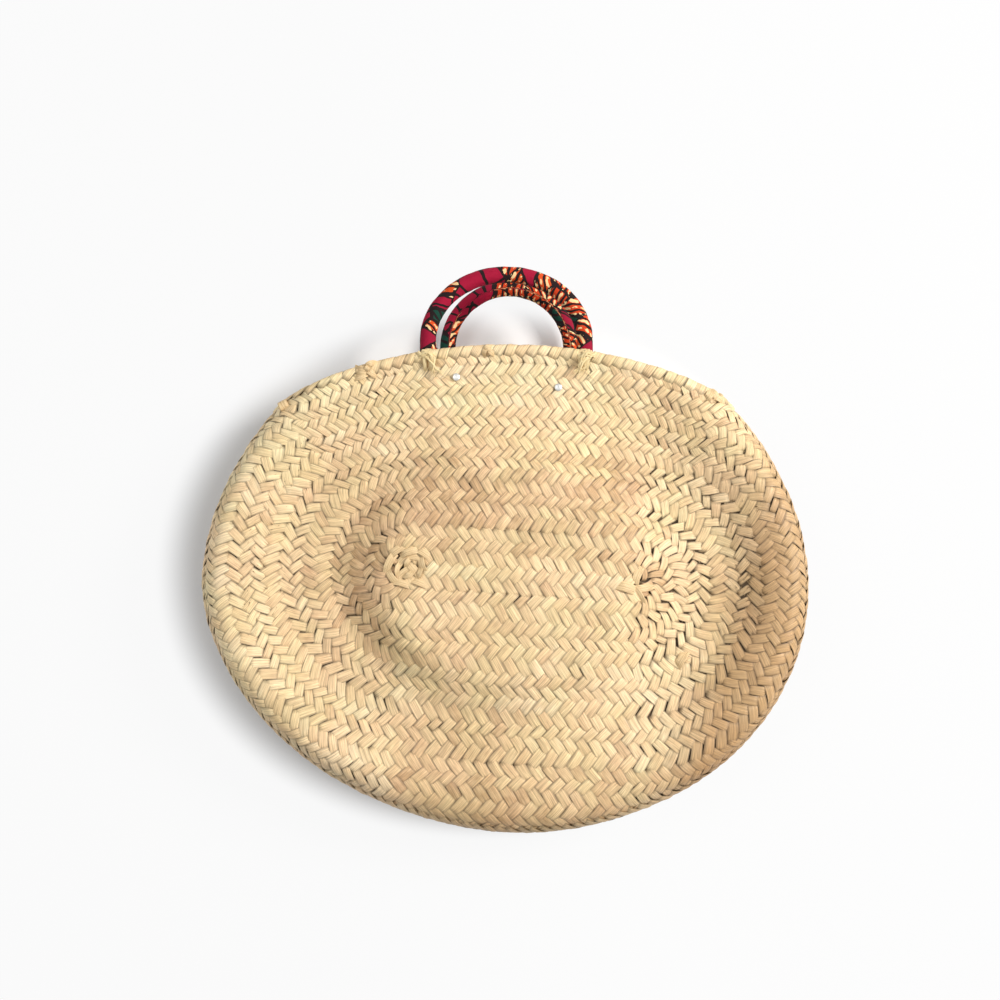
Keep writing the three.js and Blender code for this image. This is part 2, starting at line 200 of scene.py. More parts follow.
# Front panel: a dished oval of palm-leaf braid, coiled from the middle outwards and sewn edge to
# edge. The braid is a flat plait, so each leaf strip shows as short floats that pass over two
# strips and dive under the next two, in rows that slant one way and then the other.
MM = 0.001
BODY_HALF_WIDTH = 230.5
BODY_BELOW = 190.0
BODY_ABOVE = 217.0
POWER_BELOW = 1.92
POWER_ABOVE = 1.85
LEAN = 0.085
LEAN_START = 30.0
HALF_THICKNESS = 40.0
MIDDLE_HEIGHT = 39.5
SEAM_HEIGHT = 20.0
FRONT_FLATNESS = 24.0
BACK_FLATNESS = 5.0
FOLD_SOFTENING = 13.5
SOFTER_FROM, SOFTEST_FROM = 0.35, 0.85
SHOULDER = 0.4
HOLLOW_DEPTH = 8.0
SIDE_HOLLOW_DEPTH = 13.0
HOLLOW_START, HOLLOW_FLOOR, HOLLOW_RISE, HOLLOW_END = 0.37, 0.57, 0.68, 0.97
RIGHT_FLOOR_SHIFT = 0.05
MOUTH_TOP = 178.0
MOUTH_SHIFT = 1.0
MOUTH_HALF_WIDTH = 172.0
MOUTH_DROP = 42.0
MOUTH_RADIUS = (MOUTH_HALF_WIDTH ** 2 + MOUTH_DROP ** 2) / (2 * MOUTH_DROP)


def lean(y):
    return np.where(y < 0, LEAN * (np.hypot(y, LEAN_START) - LEAN_START), 0.0)


def reach_and_power(y, inset):
    above = y >= 0
    return np.where(above, BODY_ABOVE, BODY_BELOW) - inset, np.where(above, POWER_ABOVE, POWER_BELOW)


def oval_share(x, y, inset=0.0):
    reach, power = reach_and_power(y, inset)
    x = np.abs(x - lean(y)) / (BODY_HALF_WIDTH - inset)
    return (x ** power + (np.abs(y) / reach) ** power) ** (1.0 / power)


def oval_point(angle, share, inset=0.0):
    u, v = np.cos(angle), np.sin(angle)
    reach, power = reach_and_power(v, inset)
    norm = ((np.abs(u) / (BODY_HALF_WIDTH - inset)) ** power + (np.abs(v) / reach) ** power) ** (1.0 / power)
    x, y = u * share / norm, v * share / norm
    return x + lean(y), y


def mouth_y(x):
    return MOUTH_TOP - MOUTH_RADIUS + np.sqrt(np.maximum(MOUTH_RADIUS ** 2 - (x - MOUTH_SHIFT) ** 2, 0.0))


def ease(value, low, high):
    t = np.clip((value - low) / (high - low), 0.0, 1.0)
    return t * t * (3.0 - 2.0 * t)


def front_flatness(x, y):
    """The fold round the front is square at the sides and slopes more towards the bottom."""
    downward = np.minimum(y, 0.0) ** 2 / np.maximum((x - lean(y)) ** 2 + y ** 2, 1.0)
    return FRONT_FLATNESS - FOLD_SOFTENING * ease(downward, SOFTER_FROM, SOFTEST_FROM)


def front_skin(x, y, inset=0.0):
    share = np.minimum(oval_share(x, y, inset), 1.0)
    height = (HALF_THICKNESS - inset) * (1.0 - share ** front_flatness(x, y)) ** SHOULDER
    sideways = (x - lean(y)) ** 2 / np.maximum((x - lean(y)) ** 2 + y ** 2, 1.0)
    depth = HOLLOW_DEPTH + SIDE_HOLLOW_DEPTH * sideways
    floor = HOLLOW_FLOOR + RIGHT_FLOOR_SHIFT * sideways * (x > 0)
    return height - depth * ease(share, HOLLOW_START, floor) * (1.0 - ease(share, HOLLOW_RISE, HOLLOW_END))


def back_skin(x, y, inset=0.0):
    share = np.minimum(oval_share(x, y, inset), 1.0)
    height = (HALF_THICKNESS - inset) * (1.0 - share ** BACK_FLATNESS) ** SHOULDER
    return -np.minimum(height, MIDDLE_HEIGHT - inset)


def lengths_along(*sides):
    """The distance walked along a line of points, given side by side."""
    return np.concatenate([[0.0], np.cumsum(np.sqrt(sum(np.diff(side) ** 2 for side in sides)))])


def grid_faces(columns, rows, base=0):
    starts = [base + i * rows + j for i in range(columns - 1) for j in range(rows - 1)]
    return [(a, a + rows, a + rows + 1, a + 1) for a in starts]


def smooth_mesh(name, points, faces, band=None):
    """A smooth mesh through points in millimetres, looking away from the bag's middle. The band is
    where each point lies when the braid is rolled out flat."""
    mesh = bpy.data.meshes.new(name)
    mesh.from_pydata([tuple(point) for point in points * MM], [], faces)
    middle = Vector((0.0, 0.0, MIDDLE_HEIGHT * MM))
    if sum(face.normal.dot(face.center - middle) * face.area for face in mesh.polygons) < 0.0:
        mesh.flip_normals()
    if band is not None:
        corners = np.zeros(len(mesh.loops), dtype=np.int32)
        mesh.loops.foreach_get("vertex_index", corners)
        flat = np.ascontiguousarray((band * MM)[corners], dtype=np.float32)
        mesh.uv_layers.new(name="band").data.foreach_set("uv", flat.ravel())
    mesh.polygons.foreach_set("use_smooth", [True] * len(mesh.polygons))
    mesh.update()
    return mesh


def sheet_mesh(name, grid, band=None):
    grid = np.array(grid)
    band = None if band is None else np.array(band).reshape(-1, 2)
    return smooth_mesh(name, grid.reshape(-1, 3), grid_faces(*grid.shape[:2]), band)


# The rows run round a short straight middle. Along each ray out from it the rows are counted by the
# distance over the dished surface, so the braid keeps its width on the face and on the edge.
ROW = 9.7
BRAID_ROWS = ((0, 0), (1, 1), (2, 3), (4, 6), (7, 10), (11, 14), (15, 18), (19, 22), (23, 26))
SPARE = 9.0
BRAID_SPACING = 200.0
FLOAT_PITCH = 9.3
PITCH_CHANGE = 0.12
FLOAT_SLANT = math.radians(53.0)
INNER_CLOSENESS, OUTER_CLOSENESS, OUTER_FROM = 1.10, 1.02, 7
FLOAT_STARTS = (0.25, 0.75)
ROW_WAVE = 0.9
WAVE_LENGTH = 0.57
WAVE_SHIFT, WAVE_TURN = 0.9, 1.6
STEP = 0.5
OVERRUN = 2.0

# how one float differs from the next in its turn, its size and its tone
CHANCE_SEED, TONE_SEED = 5, 6
RAGGED_REACH = 62.0
RAGGED_PAINTED_SHADE = 0.36
BEND_PLAY, RAGGED_PLAY = 0.05, 0.20
ROW_TONE_SPREAD = 0.05
TONE_WAVE, TONE_WAVE_STEP, TONE_WAVE_PHASES = 0.07, 0.21, 6.0
LEAST_SLACK, MOST_SLACK = 0.86, 1.2
BEND_SLACK = (0.95, 1.02)
RAGGED_SLACK = 0.11
SEAM_SLACK = 1.04
FIRST_ROW_SLACK = (0.62, 0.95)
SHORT_SLACK, SHORT_SHARE = 0.80, 0.015
# braid tones by stretch: partly browner leaf and partly painted shade, on the hollow left of the knot, the
# right roll and the bottom wall
BRAID_TONES = {
    "lower": (0.06, 0.04, -0.06, -0.04, 0.08, -0.10, -0.30, -0.26, -0.20),
    "right": (0.0, 0.0, 0.0, 0.06, 0.10, 0.0, -0.12, -0.22, -0.22),
    "upper": (0.06, 0.0, -0.22, -0.40, -0.44, -0.10, 0.0, 0.0, 0.0),
    "left": (0.0, -0.14, -0.30, -0.26, -0.06, 0.10, 0.16, 0.12, 0.0),
}

# the walk outwards over the face, past the fold and down the wall
RAY = np.arange(0.0, 330.0, 0.5)
WALL_DROP = np.arange(1.0, 70.0, 1.0)
EDGE_SHARE = 0.9996
MOUTHWARD = (0.45, 0.75)
LIP_EDGE = 1.0
COIL_PARTS = (0.0, 1.0, 2.0, 3.0, 3.99999)


def coil_ray(start, end, part, skin, inset, mouth_rows):
    """A walk over the surface from the straight middle outwards: distance walked, x, y and height.
    Towards the mouth the distance is eased to a whole number of rows, so the last row is the lip's."""
    start, end = np.array(start), np.array(end)
    straight = np.linalg.norm(end - start)
    along = (end - start) / straight
    across = np.array([-along[1], along[0]])
    part = part % 4.0
    angle = math.pi * (part % 1.0)
    if part < 1.0:
        origin, way = start + along * straight * part, -across
    elif part < 2.0:
        origin, way = end, -across * math.cos(angle) + along * math.sin(angle)
    elif part < 3.0:
        origin, way = end - along * straight * (part - 2.0), across
    else:
        origin, way = start, across * math.cos(angle) - along * math.sin(angle)
    x = origin[0] + way[0] * RAY
    y = origin[1] + way[1] * RAY
    crossing = int(np.argmax(y > mouth_y(x) - LIP_EDGE))
    last = int(np.argmin(oval_share(x, y, inset) < EDGE_SHARE))
    x, y = x[:last], y[:last]
    z = skin(x, y, inset)
    x = np.concatenate([x, np.full(len(WALL_DROP), x[-1])])
    y = np.concatenate([y, np.full(len(WALL_DROP), y[-1])])
    z = np.concatenate([z, z[-1] - np.sign(z[0]) * WALL_DROP])
    run = lengths_along(x, y, z)
    towards_mouth = ease(way[1], *MOUTHWARD)
    if towards_mouth > 0.0 and crossing > 0:
        mark = min(crossing, last - 1)
        to_mouth = RAY[crossing] * run[mark] / RAY[mark]
        stretch = towards_mouth * (mouth_rows * ROW / to_mouth - 1.0)
        run = run * (1.0 + stretch * ease(run / to_mouth, 0.0, 1.0))
    return run, x, y, z


def stretch_counts(braid, straight):
    """Floats counted up along one braid: the lower run, the right bend, the upper run, the left bend."""
    first, last = BRAID_ROWS[braid]
    lower_count = round(straight / (FLOAT_PITCH + PITCH_CHANGE * braid))
    upper_count = round(straight / (FLOAT_PITCH - PITCH_CHANGE * braid))
    closeness = INNER_CLOSENESS if first < OUTER_FROM else OUTER_CLOSENESS
    bend_count = max(3, round(math.pi * closeness * (first + last) / 2.0)) + 0.5
    return np.cumsum([0.0, lower_count, bend_count, upper_count, bend_count])


def braid_point_rows(start, end, first, counts, steps, offsets, skin, inset, mouth_rows):
    """One braid of the coil as rows of points. The first braid is straight, the others go round."""
    straight = math.dist(start, end)
    out = offsets + (first - 0.5) * ROW
    grid = np.zeros((len(steps), len(offsets), 3))
    for column, step in enumerate(steps):
        if first == 0:
            mix = step / counts[1]
            x = start[0] + (end[0] - start[0]) * mix + (end[1] - start[1]) / straight * out
            y = start[1] + (end[1] - start[1]) * mix - (end[0] - start[0]) / straight * out
            grid[column] = np.stack([x, y, skin(x, y, inset)], axis=1)
            continue
        part = float(np.interp(step % counts[4], counts, COIL_PARTS))
        run, x, y, z = coil_ray(start, end, part, skin, inset, mouth_rows)
        distance = np.maximum(out, 0.0)
        swell = np.sin(distance / (WAVE_LENGTH * ROW) + WAVE_SHIFT * math.sin(WAVE_TURN * part))
        distance = distance + ROW_WAVE * swell * ease(distance, 0.5 * ROW, 2.0 * ROW)
        grid[column] = np.stack([np.interp(distance, run, side) for side in (x, y, z)], axis=1)
    grid[..., 2] += MIDDLE_HEIGHT
    return grid


def float_slack(chance, row, first, last, bent, nearness):
    """How large a float is: drawn in at the inside of a bend, and now and then a short one."""
    spread = 2.0 * row / (first + last) if bent else 1.0
    slack = min(max(spread ** -0.5, LEAST_SLACK), MOST_SLACK)
    slack *= chance.uniform(*BEND_SLACK) - RAGGED_SLACK * nearness if bent else 1.0
    slack *= SEAM_SLACK if row in (first, last) else 1.0
    slack *= chance.uniform(*FIRST_ROW_SLACK) if row == 1 and bent else 1.0
    return slack * (SHORT_SLACK if chance.random() < SHORT_SHARE else 1.0)


def coiled_braid(name, start, end, skin, inset, room, mouth_rows):
    """The sewn braid as a surface with its flat band, the middle of each float on the band, and each
    float's turn, slack and tone."""
    chance = np.random.default_rng(CHANCE_SEED)
    tone_chance = np.random.default_rng(TONE_SEED)
    points, band, faces, spots = [], [], [], []
    turns, slacks, tones = [], [], []
    base = 0
    for braid, (first, last) in enumerate(BRAID_ROWS):
        counts = stretch_counts(braid, math.dist(start, end))
        total = counts[4] if first > 0 else counts[1]
        steps = np.arange(-OVERRUN, total + OVERRUN + 0.01, STEP)
        width = last - first + 1
        offsets = np.linspace(-SPARE, width * ROW + SPARE, 6 + 3 * width)
        grid = braid_point_rows(start, end, first, counts, steps, offsets, skin, inset, mouth_rows)
        points.append(grid.reshape(-1, 3))
        band.extend((step * ROW, offset + braid * BRAID_SPACING) for step in steps for offset in offsets)
        faces.extend(grid_faces(len(steps), len(offsets), base))
        base += len(points[-1])
        for row in range(first, last + 1):
            offset = (row - first + 0.5) * ROW
            slant = FLOAT_SLANT if row % 2 else -FLOAT_SLANT
            row_tone = tone_chance.normal(0.0, ROW_TONE_SPREAD)
            row_phase = tone_chance.uniform(0.0, TONE_WAVE_PHASES)
            for index in range(int(total)):
                along = index + FLOAT_STARTS[row % 2]
                here = min(int((along + OVERRUN) / STEP), len(steps) - 2)
                x, y, z = (np.interp(offset, offsets, grid[here, :, k]) for k in range(3))
                if not room(x, y, z - MIDDLE_HEIGHT):
                    continue
                bent = first > 0 and (counts[1] < along < counts[2] or counts[3] < along < counts[4])
                nearness = math.exp(-(math.dist((x, y), end) / RAGGED_REACH) ** 2) if bent else 0.0
                stretch = list(BRAID_TONES)[min(int(np.searchsorted(counts, along)) - 1, 3)]
                # painted shade: floats near the right end of the straight middle are darkened, and the braid
                # tone adds painted shade on some stretches
                batch = BRAID_TONES[stretch][braid] - RAGGED_PAINTED_SHADE * nearness ** 2
                ragged = chance.normal(0.0, BEND_PLAY + RAGGED_PLAY * nearness) if bent else 0.0
                spots.append((along * ROW * MM, (offset + braid * BRAID_SPACING) * MM, 0.0))
                tones.append(row_tone + batch + TONE_WAVE * math.sin(TONE_WAVE_STEP * index + row_phase))
                turns.append(slant + ragged)
                slacks.append(float_slack(chance, row, first, last, bent, nearness))
    surface = smooth_mesh(name + "_surface", np.concatenate(points), faces, np.array(band))
    return surface, spots, {"turn": turns, "slack": slacks, "tone": tones}


END_BEND, EDGE_BEND = 5.0, 6.0
TURN_PLAY, ROLL_PLAY, PITCH_PLAY = 0.06, 0.11, 0.02
LEAST_SIZES = (0.98, 0.95, 0.85)
MOST_SIZES = (1.05, 1.06, 1.25)


def shape_tree(name, made, inputs):
    """A tree of shape nodes with its named inputs, given as name, kind and usual value."""
    tree = bpy.data.node_groups.new(name, "GeometryNodeTree")
    for label, kind, *usual in inputs:
        socket = tree.interface.new_socket(name=label, in_out="INPUT", socket_type="NodeSocket" + kind)
        for value in usual:
            socket.default_value = value
    tree.interface.new_socket(name=made, in_out="OUTPUT", socket_type="NodeSocketGeometry")
    return tree, tree.nodes.new("NodeGroupInput").outputs


def joined(tree, x, y, z=0.0):
    return add_node(tree, "ShaderNodeCombineXYZ", {"X": x, "Y": y, "Z": z})


def read_mark(tree, name, kind="FLOAT"):
    return add_node(tree, "GeometryNodeInputNamedAttribute", {"Name": name}, data_type=kind)


def store_mark(tree, shape, name, value, kind="FLOAT", domain="POINT"):
    inputs = {"Geometry": shape, "Name": name, "Value": value}
    return add_node(tree, "GeometryNodeStoreNamedAttribute", inputs, data_type=kind, domain=domain)


def drawn_to_ends(tree, value):
    """Crowd evenly spaced values between -1 and 1 towards the two ends."""
    square = sum_up(tree, "MULTIPLY", value, value)
    return sum_up(tree, "MULTIPLY", value, sum_up(tree, "MULTIPLY_ADD", square, -0.5, 1.5))


def fallen(tree, value, power, depth):
    """How far a strip has bent down at a share of its half length or width."""
    return sum_up(tree, "MULTIPLY", sum_up(tree, "POWER", sum_up(tree, "ABSOLUTE", value), power), depth)


def one_float(tree, given):
    """A strip whose ends dive under its neighbours and whose long edges turn down a little."""
    strip = add_node(tree, "GeometryNodeMeshGrid", {
        "Size X": given["Length"], "Size Y": given["Width"],
        "Vertices X": given["Points Along"], "Vertices Y": given["Points Across"]})
    flat = parts_of(tree, add_node(tree, "GeometryNodeInputPosition"))
    along, across = (
        drawn_to_ends(tree, sum_up(tree, "DIVIDE", sum_up(tree, "MULTIPLY", flat[axis], 2.0), given[size]))
        for axis, size in (("X", "Length"), ("Y", "Width")))
    height = sum_up(tree, "SUBTRACT", given["Rise"], fallen(tree, along, END_BEND, given["Dive"]))
    height = sum_up(tree, "SUBTRACT", height, fallen(tree, across, EDGE_BEND, given["Edge"]))
    half_length = sum_up(tree, "MULTIPLY", given["Length"], 0.5)
    half_width = sum_up(tree, "MULTIPLY", given["Width"], 0.5)
    formed = add_node(tree, "GeometryNodeSetPosition", {
        "Geometry": strip.outputs["Mesh"],
        "Position": joined(tree, sum_up(tree, "MULTIPLY", along, half_length),
                           sum_up(tree, "MULTIPLY", across, half_width), height)})
    return store_mark(tree, formed, "strip", joined(tree, along, across), "FLOAT_VECTOR")


def floats_on_marks(tree, given, strip):
    """One strip for each mark, turned, drawn in and tinted."""

    def chosen(low, high, step, kind="FLOAT"):
        seed = sum_up(tree, "ADD", given["Seed"], step)
        limits = {"Min": low, "Max": high, "Seed": seed}
        return add_node(tree, "FunctionNodeRandomValue", limits, data_type=kind)

    def play(reach, step):
        return chosen(-reach, reach, step)

    turn = sum_up(tree, "ADD", read_mark(tree, "turn"), play(TURN_PLAY, 3.0))
    sizes = chosen(LEAST_SIZES, MOST_SIZES, 13.0, "FLOAT_VECTOR")
    spread = add_node(tree, "GeometryNodeInstanceOnPoints", {
        "Points": given["Marks"], "Instance": strip,
        "Rotation": joined(tree, play(ROLL_PLAY, 0.0), play(PITCH_PLAY, 7.0), turn),
        "Scale": scaled(tree, sizes, read_mark(tree, "slack"))})
    tinted = store_mark(tree, spread, "tint", chosen(0.0, 1.0, 29.0), domain="INSTANCE")
    return add_node(tree, "GeometryNodeRealizeInstances", {0: tinted})


def laid_on_surface(tree, given, floats):
    """The flat braid bent on to the surface. What runs past the surface is dropped."""
    ground = add_node(tree, "GeometryNodeObjectInfo", {"Object": given["Surface"]})
    flat = parts_of(tree, add_node(tree, "GeometryNodeInputPosition"))
    place, look = (
        add_node(tree, "GeometryNodeSampleUVSurface", {
            "Mesh": ground.outputs["Geometry"], "Value": add_node(tree, source),
            "UV Map": read_mark(tree, "band", "FLOAT_VECTOR"),
            "Sample UV": joined(tree, flat["X"], flat["Y"])}, data_type="FLOAT_VECTOR")
        for source in ("GeometryNodeInputPosition", "GeometryNodeInputNormal"))
    lost = add_node(tree, "FunctionNodeBooleanMath", {0: place.outputs["Is Valid"]}, operation="NOT")
    lift = scaled(tree, look, sum_up(tree, "MULTIPLY", flat["Z"], given["Side"]))
    bent = add_node(tree, "GeometryNodeSetPosition", {
        "Geometry": store_mark(tree, floats, "lost", lost, "BOOLEAN"),
        "Position": vector_sum(tree, "ADD", place, lift)})
    return add_node(tree, "GeometryNodeDeleteGeometry", {
        "Geometry": bent, "Selection": read_mark(tree, "lost", "BOOLEAN")}, domain="POINT")


def float_plait_tree():
    """Floats laid flat on their marks in braid coordinates, then bent on to the surface."""
    tree, given = shape_tree("float_plait", "Weave", (
        ("Marks", "Geometry"), ("Surface", "Object"), ("Length", "Float", 0.0174), ("Width", "Float", 0.0077),
        ("Rise", "Float", 0.0007), ("Dive", "Float", 0.0022), ("Edge", "Float", 0.0003),
        ("Points Along", "Int", 9), ("Points Across", "Int", 5), ("Side", "Float", 1.0), ("Seed", "Int", 1),
        ("Material", "Material")))
    floats = floats_on_marks(tree, given, one_float(tree, given))
    smooth = add_node(tree, "GeometryNodeSetShadeSmooth", {"Geometry": laid_on_surface(tree, given, floats)})
    coated = add_node(tree, "GeometryNodeSetMaterial", {"Geometry": smooth, "Material": given["Material"]})
    add_node(tree, "NodeGroupOutput", {"Weave": coated})
    return tree


plait_tree = float_plait_tree()


def made_by(tree, name, mesh, values):
    """A piece as a plain mesh, made by a tree of shape nodes from a mesh of marks or paths."""
    piece = put_in(name, mesh)
    maker = piece.modifiers.new("maker", "NODES")
    maker.node_group = tree
    for item in tree.interface.items_tree:
        if item.item_type == "SOCKET" and item.in_out == "INPUT" and item.name in values:
            maker[item.identifier] = values[item.name]
    graph = bpy.context.evaluated_depsgraph_get()
    made = bpy.data.meshes.new_from_object(piece.evaluated_get(graph))
    made.name = name
    piece.modifiers.remove(maker)
    piece.data = made
    return piece


def plait(name, surface, spots, marks, material, **sizes):
    """A woven piece, from its marks and the surface that it lies on."""
    ground = put_in(name + "_ground", surface)
    mesh = bpy.data.meshes.new(name + "_marks")
    mesh.from_pydata(spots, [], [])
    for mark, usual in (("turn", 0.0), ("slack", 1.0), ("tone", 0.0)):
        values = marks.get(mark, [usual] * len(spots))
        mesh.attributes.new(mark, "FLOAT", "POINT").data.foreach_set("value", values)
    piece = made_by(plait_tree, name, mesh, dict(sizes, Surface=ground, Material=material))
    bpy.data.objects.remove(ground)
    return piece


def fasten(piece, slot_name, *nodes):
    """Fix a piece to the bag, in the place of the nodes named."""
    if nodes:
        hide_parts(*nodes)
    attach(piece, "bag_body")


def colour_steps(tree, value, steps, interpolation="LINEAR"):
    ramp = add_node(tree, "ShaderNodeValToRGB", {"Fac": value})
    ramp.color_ramp.interpolation = interpolation
    points = ramp.color_ramp.elements
    while len(points) < len(steps):
        points.new(0.5)
    for point, (place, colour) in zip(points, steps):
        point.position = place
        point.color = (*colour, 1.0)
    return ramp


def noise(tree, place, scale, detail=2.0):
    return add_node(tree, "ShaderNodeTexNoise", {"Vector": place, "Scale": scale, "Detail": detail})


def mark_on(tree, name):
    return add_node(tree, "ShaderNodeAttribute", attribute_name=name).outputs


def blended(tree, share, under, over):
    return add_node(tree, "ShaderNodeMix", {"Factor": share, "A": under, "B": over}, data_type="RGBA")


def raise_relief(tree, sockets, height, strength, distance):
    bump = add_node(tree, "ShaderNodeBump", {"Strength": strength, "Distance": distance, "Height": height})
    feed(tree, bump, sockets["Normal"])


LEAF_GRAIN = (
    ("Fibre", (0.5, 9.5, 1.0), 2.0),
    ("Rib", (0.3, 2.8, 1.0), 1.0),
    ("Blotch", (1.1, 0.9, 1.0), 1.0),
)
STRIP_SHIFT = 613.0


def leaf_fibre_group():
    """Lengthwise fibres of a dried leaf and slow changes of tone, from the strip's own coordinates."""
    group = bpy.data.node_groups.new("leaf_fibre", "ShaderNodeTree")
    for name, kind in (("Strip", "NodeSocketVector"), ("Tint", "NodeSocketFloat")):
        group.interface.new_socket(name=name, in_out="INPUT", socket_type=kind)
    for name, _, _ in LEAF_GRAIN:
        group.interface.new_socket(name=name, in_out="OUTPUT", socket_type="NodeSocketFloat")
    given = group.nodes.new("NodeGroupInput").outputs
    own = joined(group, 0.0, 0.0, sum_up(group, "MULTIPLY", given["Tint"], STRIP_SHIFT))
    add_node(group, "NodeGroupOutput", {
        name: noise(group, vector_sum(group, "MULTIPLY_ADD", given["Strip"], stretch, own), 1.0, detail)
        for name, stretch, detail in LEAF_GRAIN})
    return group


leaf_fibre = leaf_fibre_group()
LEAF_STEPS = (
    (0.0, (0.58, 0.38, 0.19)),
    (0.12, (0.69, 0.47, 0.25)),
    (0.30, (0.78, 0.555, 0.30)),
    (0.55, (0.845, 0.63, 0.345)),
    (0.80, (0.88, 0.68, 0.385)),
    (1.0, (0.92, 0.75, 0.45)),
)
GREEN_OR_PINK = ((0.36, (0.985, 0.995, 0.955)), (0.64, (1.03, 0.975, 1.0)))
BROWNED_AND_SHADED_LEAF = (0.44, 0.245, 0.10, 1.0)
BATCH_SIZE, HUE_SIZE = 8.0, 34.0

# each is a value's span and what it is turned into, low to low and high to high
STRIP_TONES = (0.0, 1.0, 0.26, 0.76)
BLOTCH_TONES = (0.3, 0.7, -0.12, 0.12)
BATCH_TONES = (0.32, 0.68, -0.08, 0.26)
# the right edge and the bottom wall get painted shade, the face is browner towards the bottom, and some
# batches are brown with age
RIGHT_PAINTED_SHADE = (0.148, 0.188, 0.0, 0.74)
LOWER_BROWNER = (-0.05, -0.15, 0.0, 0.16)
BATCH_BROWNED = (0.45, 0.65, 0.10, 0.0)
BOTTOM_PAINTED_SHADE = (-0.166, -0.187, 0.0, 0.34)
FIBRE_LIGHT = (0.3, 0.7, 0.64, 1.20)
RIB_LIGHT = (0.32, 0.68, 0.86, 1.10)
EDGE_PAINTED_SHADE = (0.88, 1.0, 1.0, 0.42)
END_SHADE_FROM = 0.74
RIGHT_SHADE_SLOPE = -0.3
GLOSS_CHANGE = 0.08
LEAF_RELIEF, LEAF_RELIEF_HEIGHT = 0.45, 0.0005


def leaf_material(name, roughness, shade):
    """Dried leaf: each strip, row and batch has its tone, the ends and edges of a strip are darkened as
    painted shade where they go under their neighbours, and the right and bottom edges carry painted shade.
    """
    material, tree, sockets = new_paint(name)

    def total(operation, first, *others):
        for other in others:
            first = sum_up(tree, operation, first, other)
        return first

    strip = mark_on(tree, "strip")["Vector"]
    tint = mark_on(tree, "tint")["Fac"]
    fibre = add_node(tree, "ShaderNodeGroup", node_tree=leaf_fibre)
    feed(tree, strip, fibre.inputs["Strip"])
    feed(tree, tint, fibre.inputs["Tint"])
    fibres, ribs, blotches = fibre.outputs
    place = own_place(tree)
    batch = noise(tree, place, BATCH_SIZE, 3.0)
    tone = total("ADD", ranged(tree, tint, *STRIP_TONES), ranged(tree, blotches, *BLOTCH_TONES),
                 ranged(tree, batch, *BATCH_TONES), mark_on(tree, "tone")["Fac"])
    hue = colour_steps(tree, noise(tree, place, HUE_SIZE), GREEN_OR_PINK)
    hued = vector_sum(tree, "MULTIPLY", colour_steps(tree, tone, LEAF_STEPS), hue)

    # painted shade: the right edge and the bottom edge are darkened and turned brown where they face away
    # from the lamp; the face also turns browner towards the bottom, and some batches are brown with age
    where = parts_of(tree, place)
    sideways = sum_up(tree, "MULTIPLY_ADD", where["Y"], RIGHT_SHADE_SLOPE, where["X"])
    browned_and_shaded = total("ADD", ranged(tree, sideways, *RIGHT_PAINTED_SHADE), ranged(tree, where["Y"], *LOWER_BROWNER),
                    ranged(tree, batch, *BATCH_BROWNED), ranged(tree, where["Y"], *BOTTOM_PAINTED_SHADE))
    aged_and_shaded = blended(tree, browned_and_shaded, hued, BROWNED_AND_SHADED_LEAF)
    end, edge, _ = parts_of(tree, strip)
    # the fibre and rib grain, times painted shade at the ends and long edges of each strip
    light = total("MULTIPLY", ranged(tree, fibres, *FIBRE_LIGHT), ranged(tree, ribs, *RIB_LIGHT),
                  ranged(tree, sum_up(tree, "ABSOLUTE", end), END_SHADE_FROM, 1.0, 1.0, shade),
                  ranged(tree, sum_up(tree, "ABSOLUTE", edge), *EDGE_PAINTED_SHADE))
    feed(tree, scaled(tree, aged_and_shaded, light), sockets["Base Color"])
    gloss = ranged(tree, fibres, *FIBRE_LIGHT[:2], roughness + GLOSS_CHANGE, roughness - GLOSS_CHANGE)
    feed(tree, gloss, sockets["Roughness"])
    raise_relief(tree, sockets, sum_up(tree, "ADD", fibres, ribs), LEAF_RELIEF, LEAF_RELIEF_HEIGHT)
    return material


# painted shade: the sheets under the weave and the rim beads are near black, so the gaps between floats read
# as shadow
UNDER_SHADE_STEPS = ((0.3, (0.035, 0.022, 0.01)), (0.7, (0.13, 0.08, 0.04)))
UNDER_GRAIN_SIZE = 260.0
UNDER_FACE_SHARES = np.linspace(0.02, 0.85, 18)
UNDER_FOLD_FROM = 0.87
UNDER_ROOM = 3.0
straw = leaf_material("straw", roughness=0.58, shade=0.55)
shade_under_leaf, under_tree, under_sockets = new_paint("shade_under_leaf", Roughness=0.85)
under_grain = noise(under_tree, own_place(under_tree), UNDER_GRAIN_SIZE)
feed(under_tree, colour_steps(under_tree, under_grain, UNDER_SHADE_STEPS), under_sockets["Base Color"])


def add_in_painted_shade(name, mesh):
    mesh.materials.append(shade_under_leaf)
    fasten(put_in(name, mesh), "straw")


def shade_backing(name, skin, inset, share_limit):
    """A near-black sheet between the outer and inner floats, painted shade that shows in the gaps of the
    weave.
    """
    shares = np.concatenate([UNDER_FACE_SHARES, np.linspace(UNDER_FOLD_FROM, share_limit, 14)])
    grid = []
    for angle in np.linspace(0.0, 2 * np.pi, 121):
        x, y = oval_point(np.full(len(shares), angle), shares, inset)
        y = np.minimum(y, mouth_y(x) - UNDER_ROOM)
        grid.append(np.stack([x, y, skin(x, y, inset) + MIDDLE_HEIGHT], axis=1))
    return sheet_mesh(name, grid)


KNOT_MIDDLE = (-73.0, 11.8)
KNOT_REACH = 9.0
FRONT_COIL = ((-76.0, 10.5), (98.0, -1.5))
FRONT_MOUTH_ROWS = 20
LIP_ROOM = 4.3
SEAM_OVERLAP = 0.5
FOLD_FROM = 0.86
FRONT_INSET = 0.5
INNER_INSET = 2.6
UNDER_INSET = 1.7


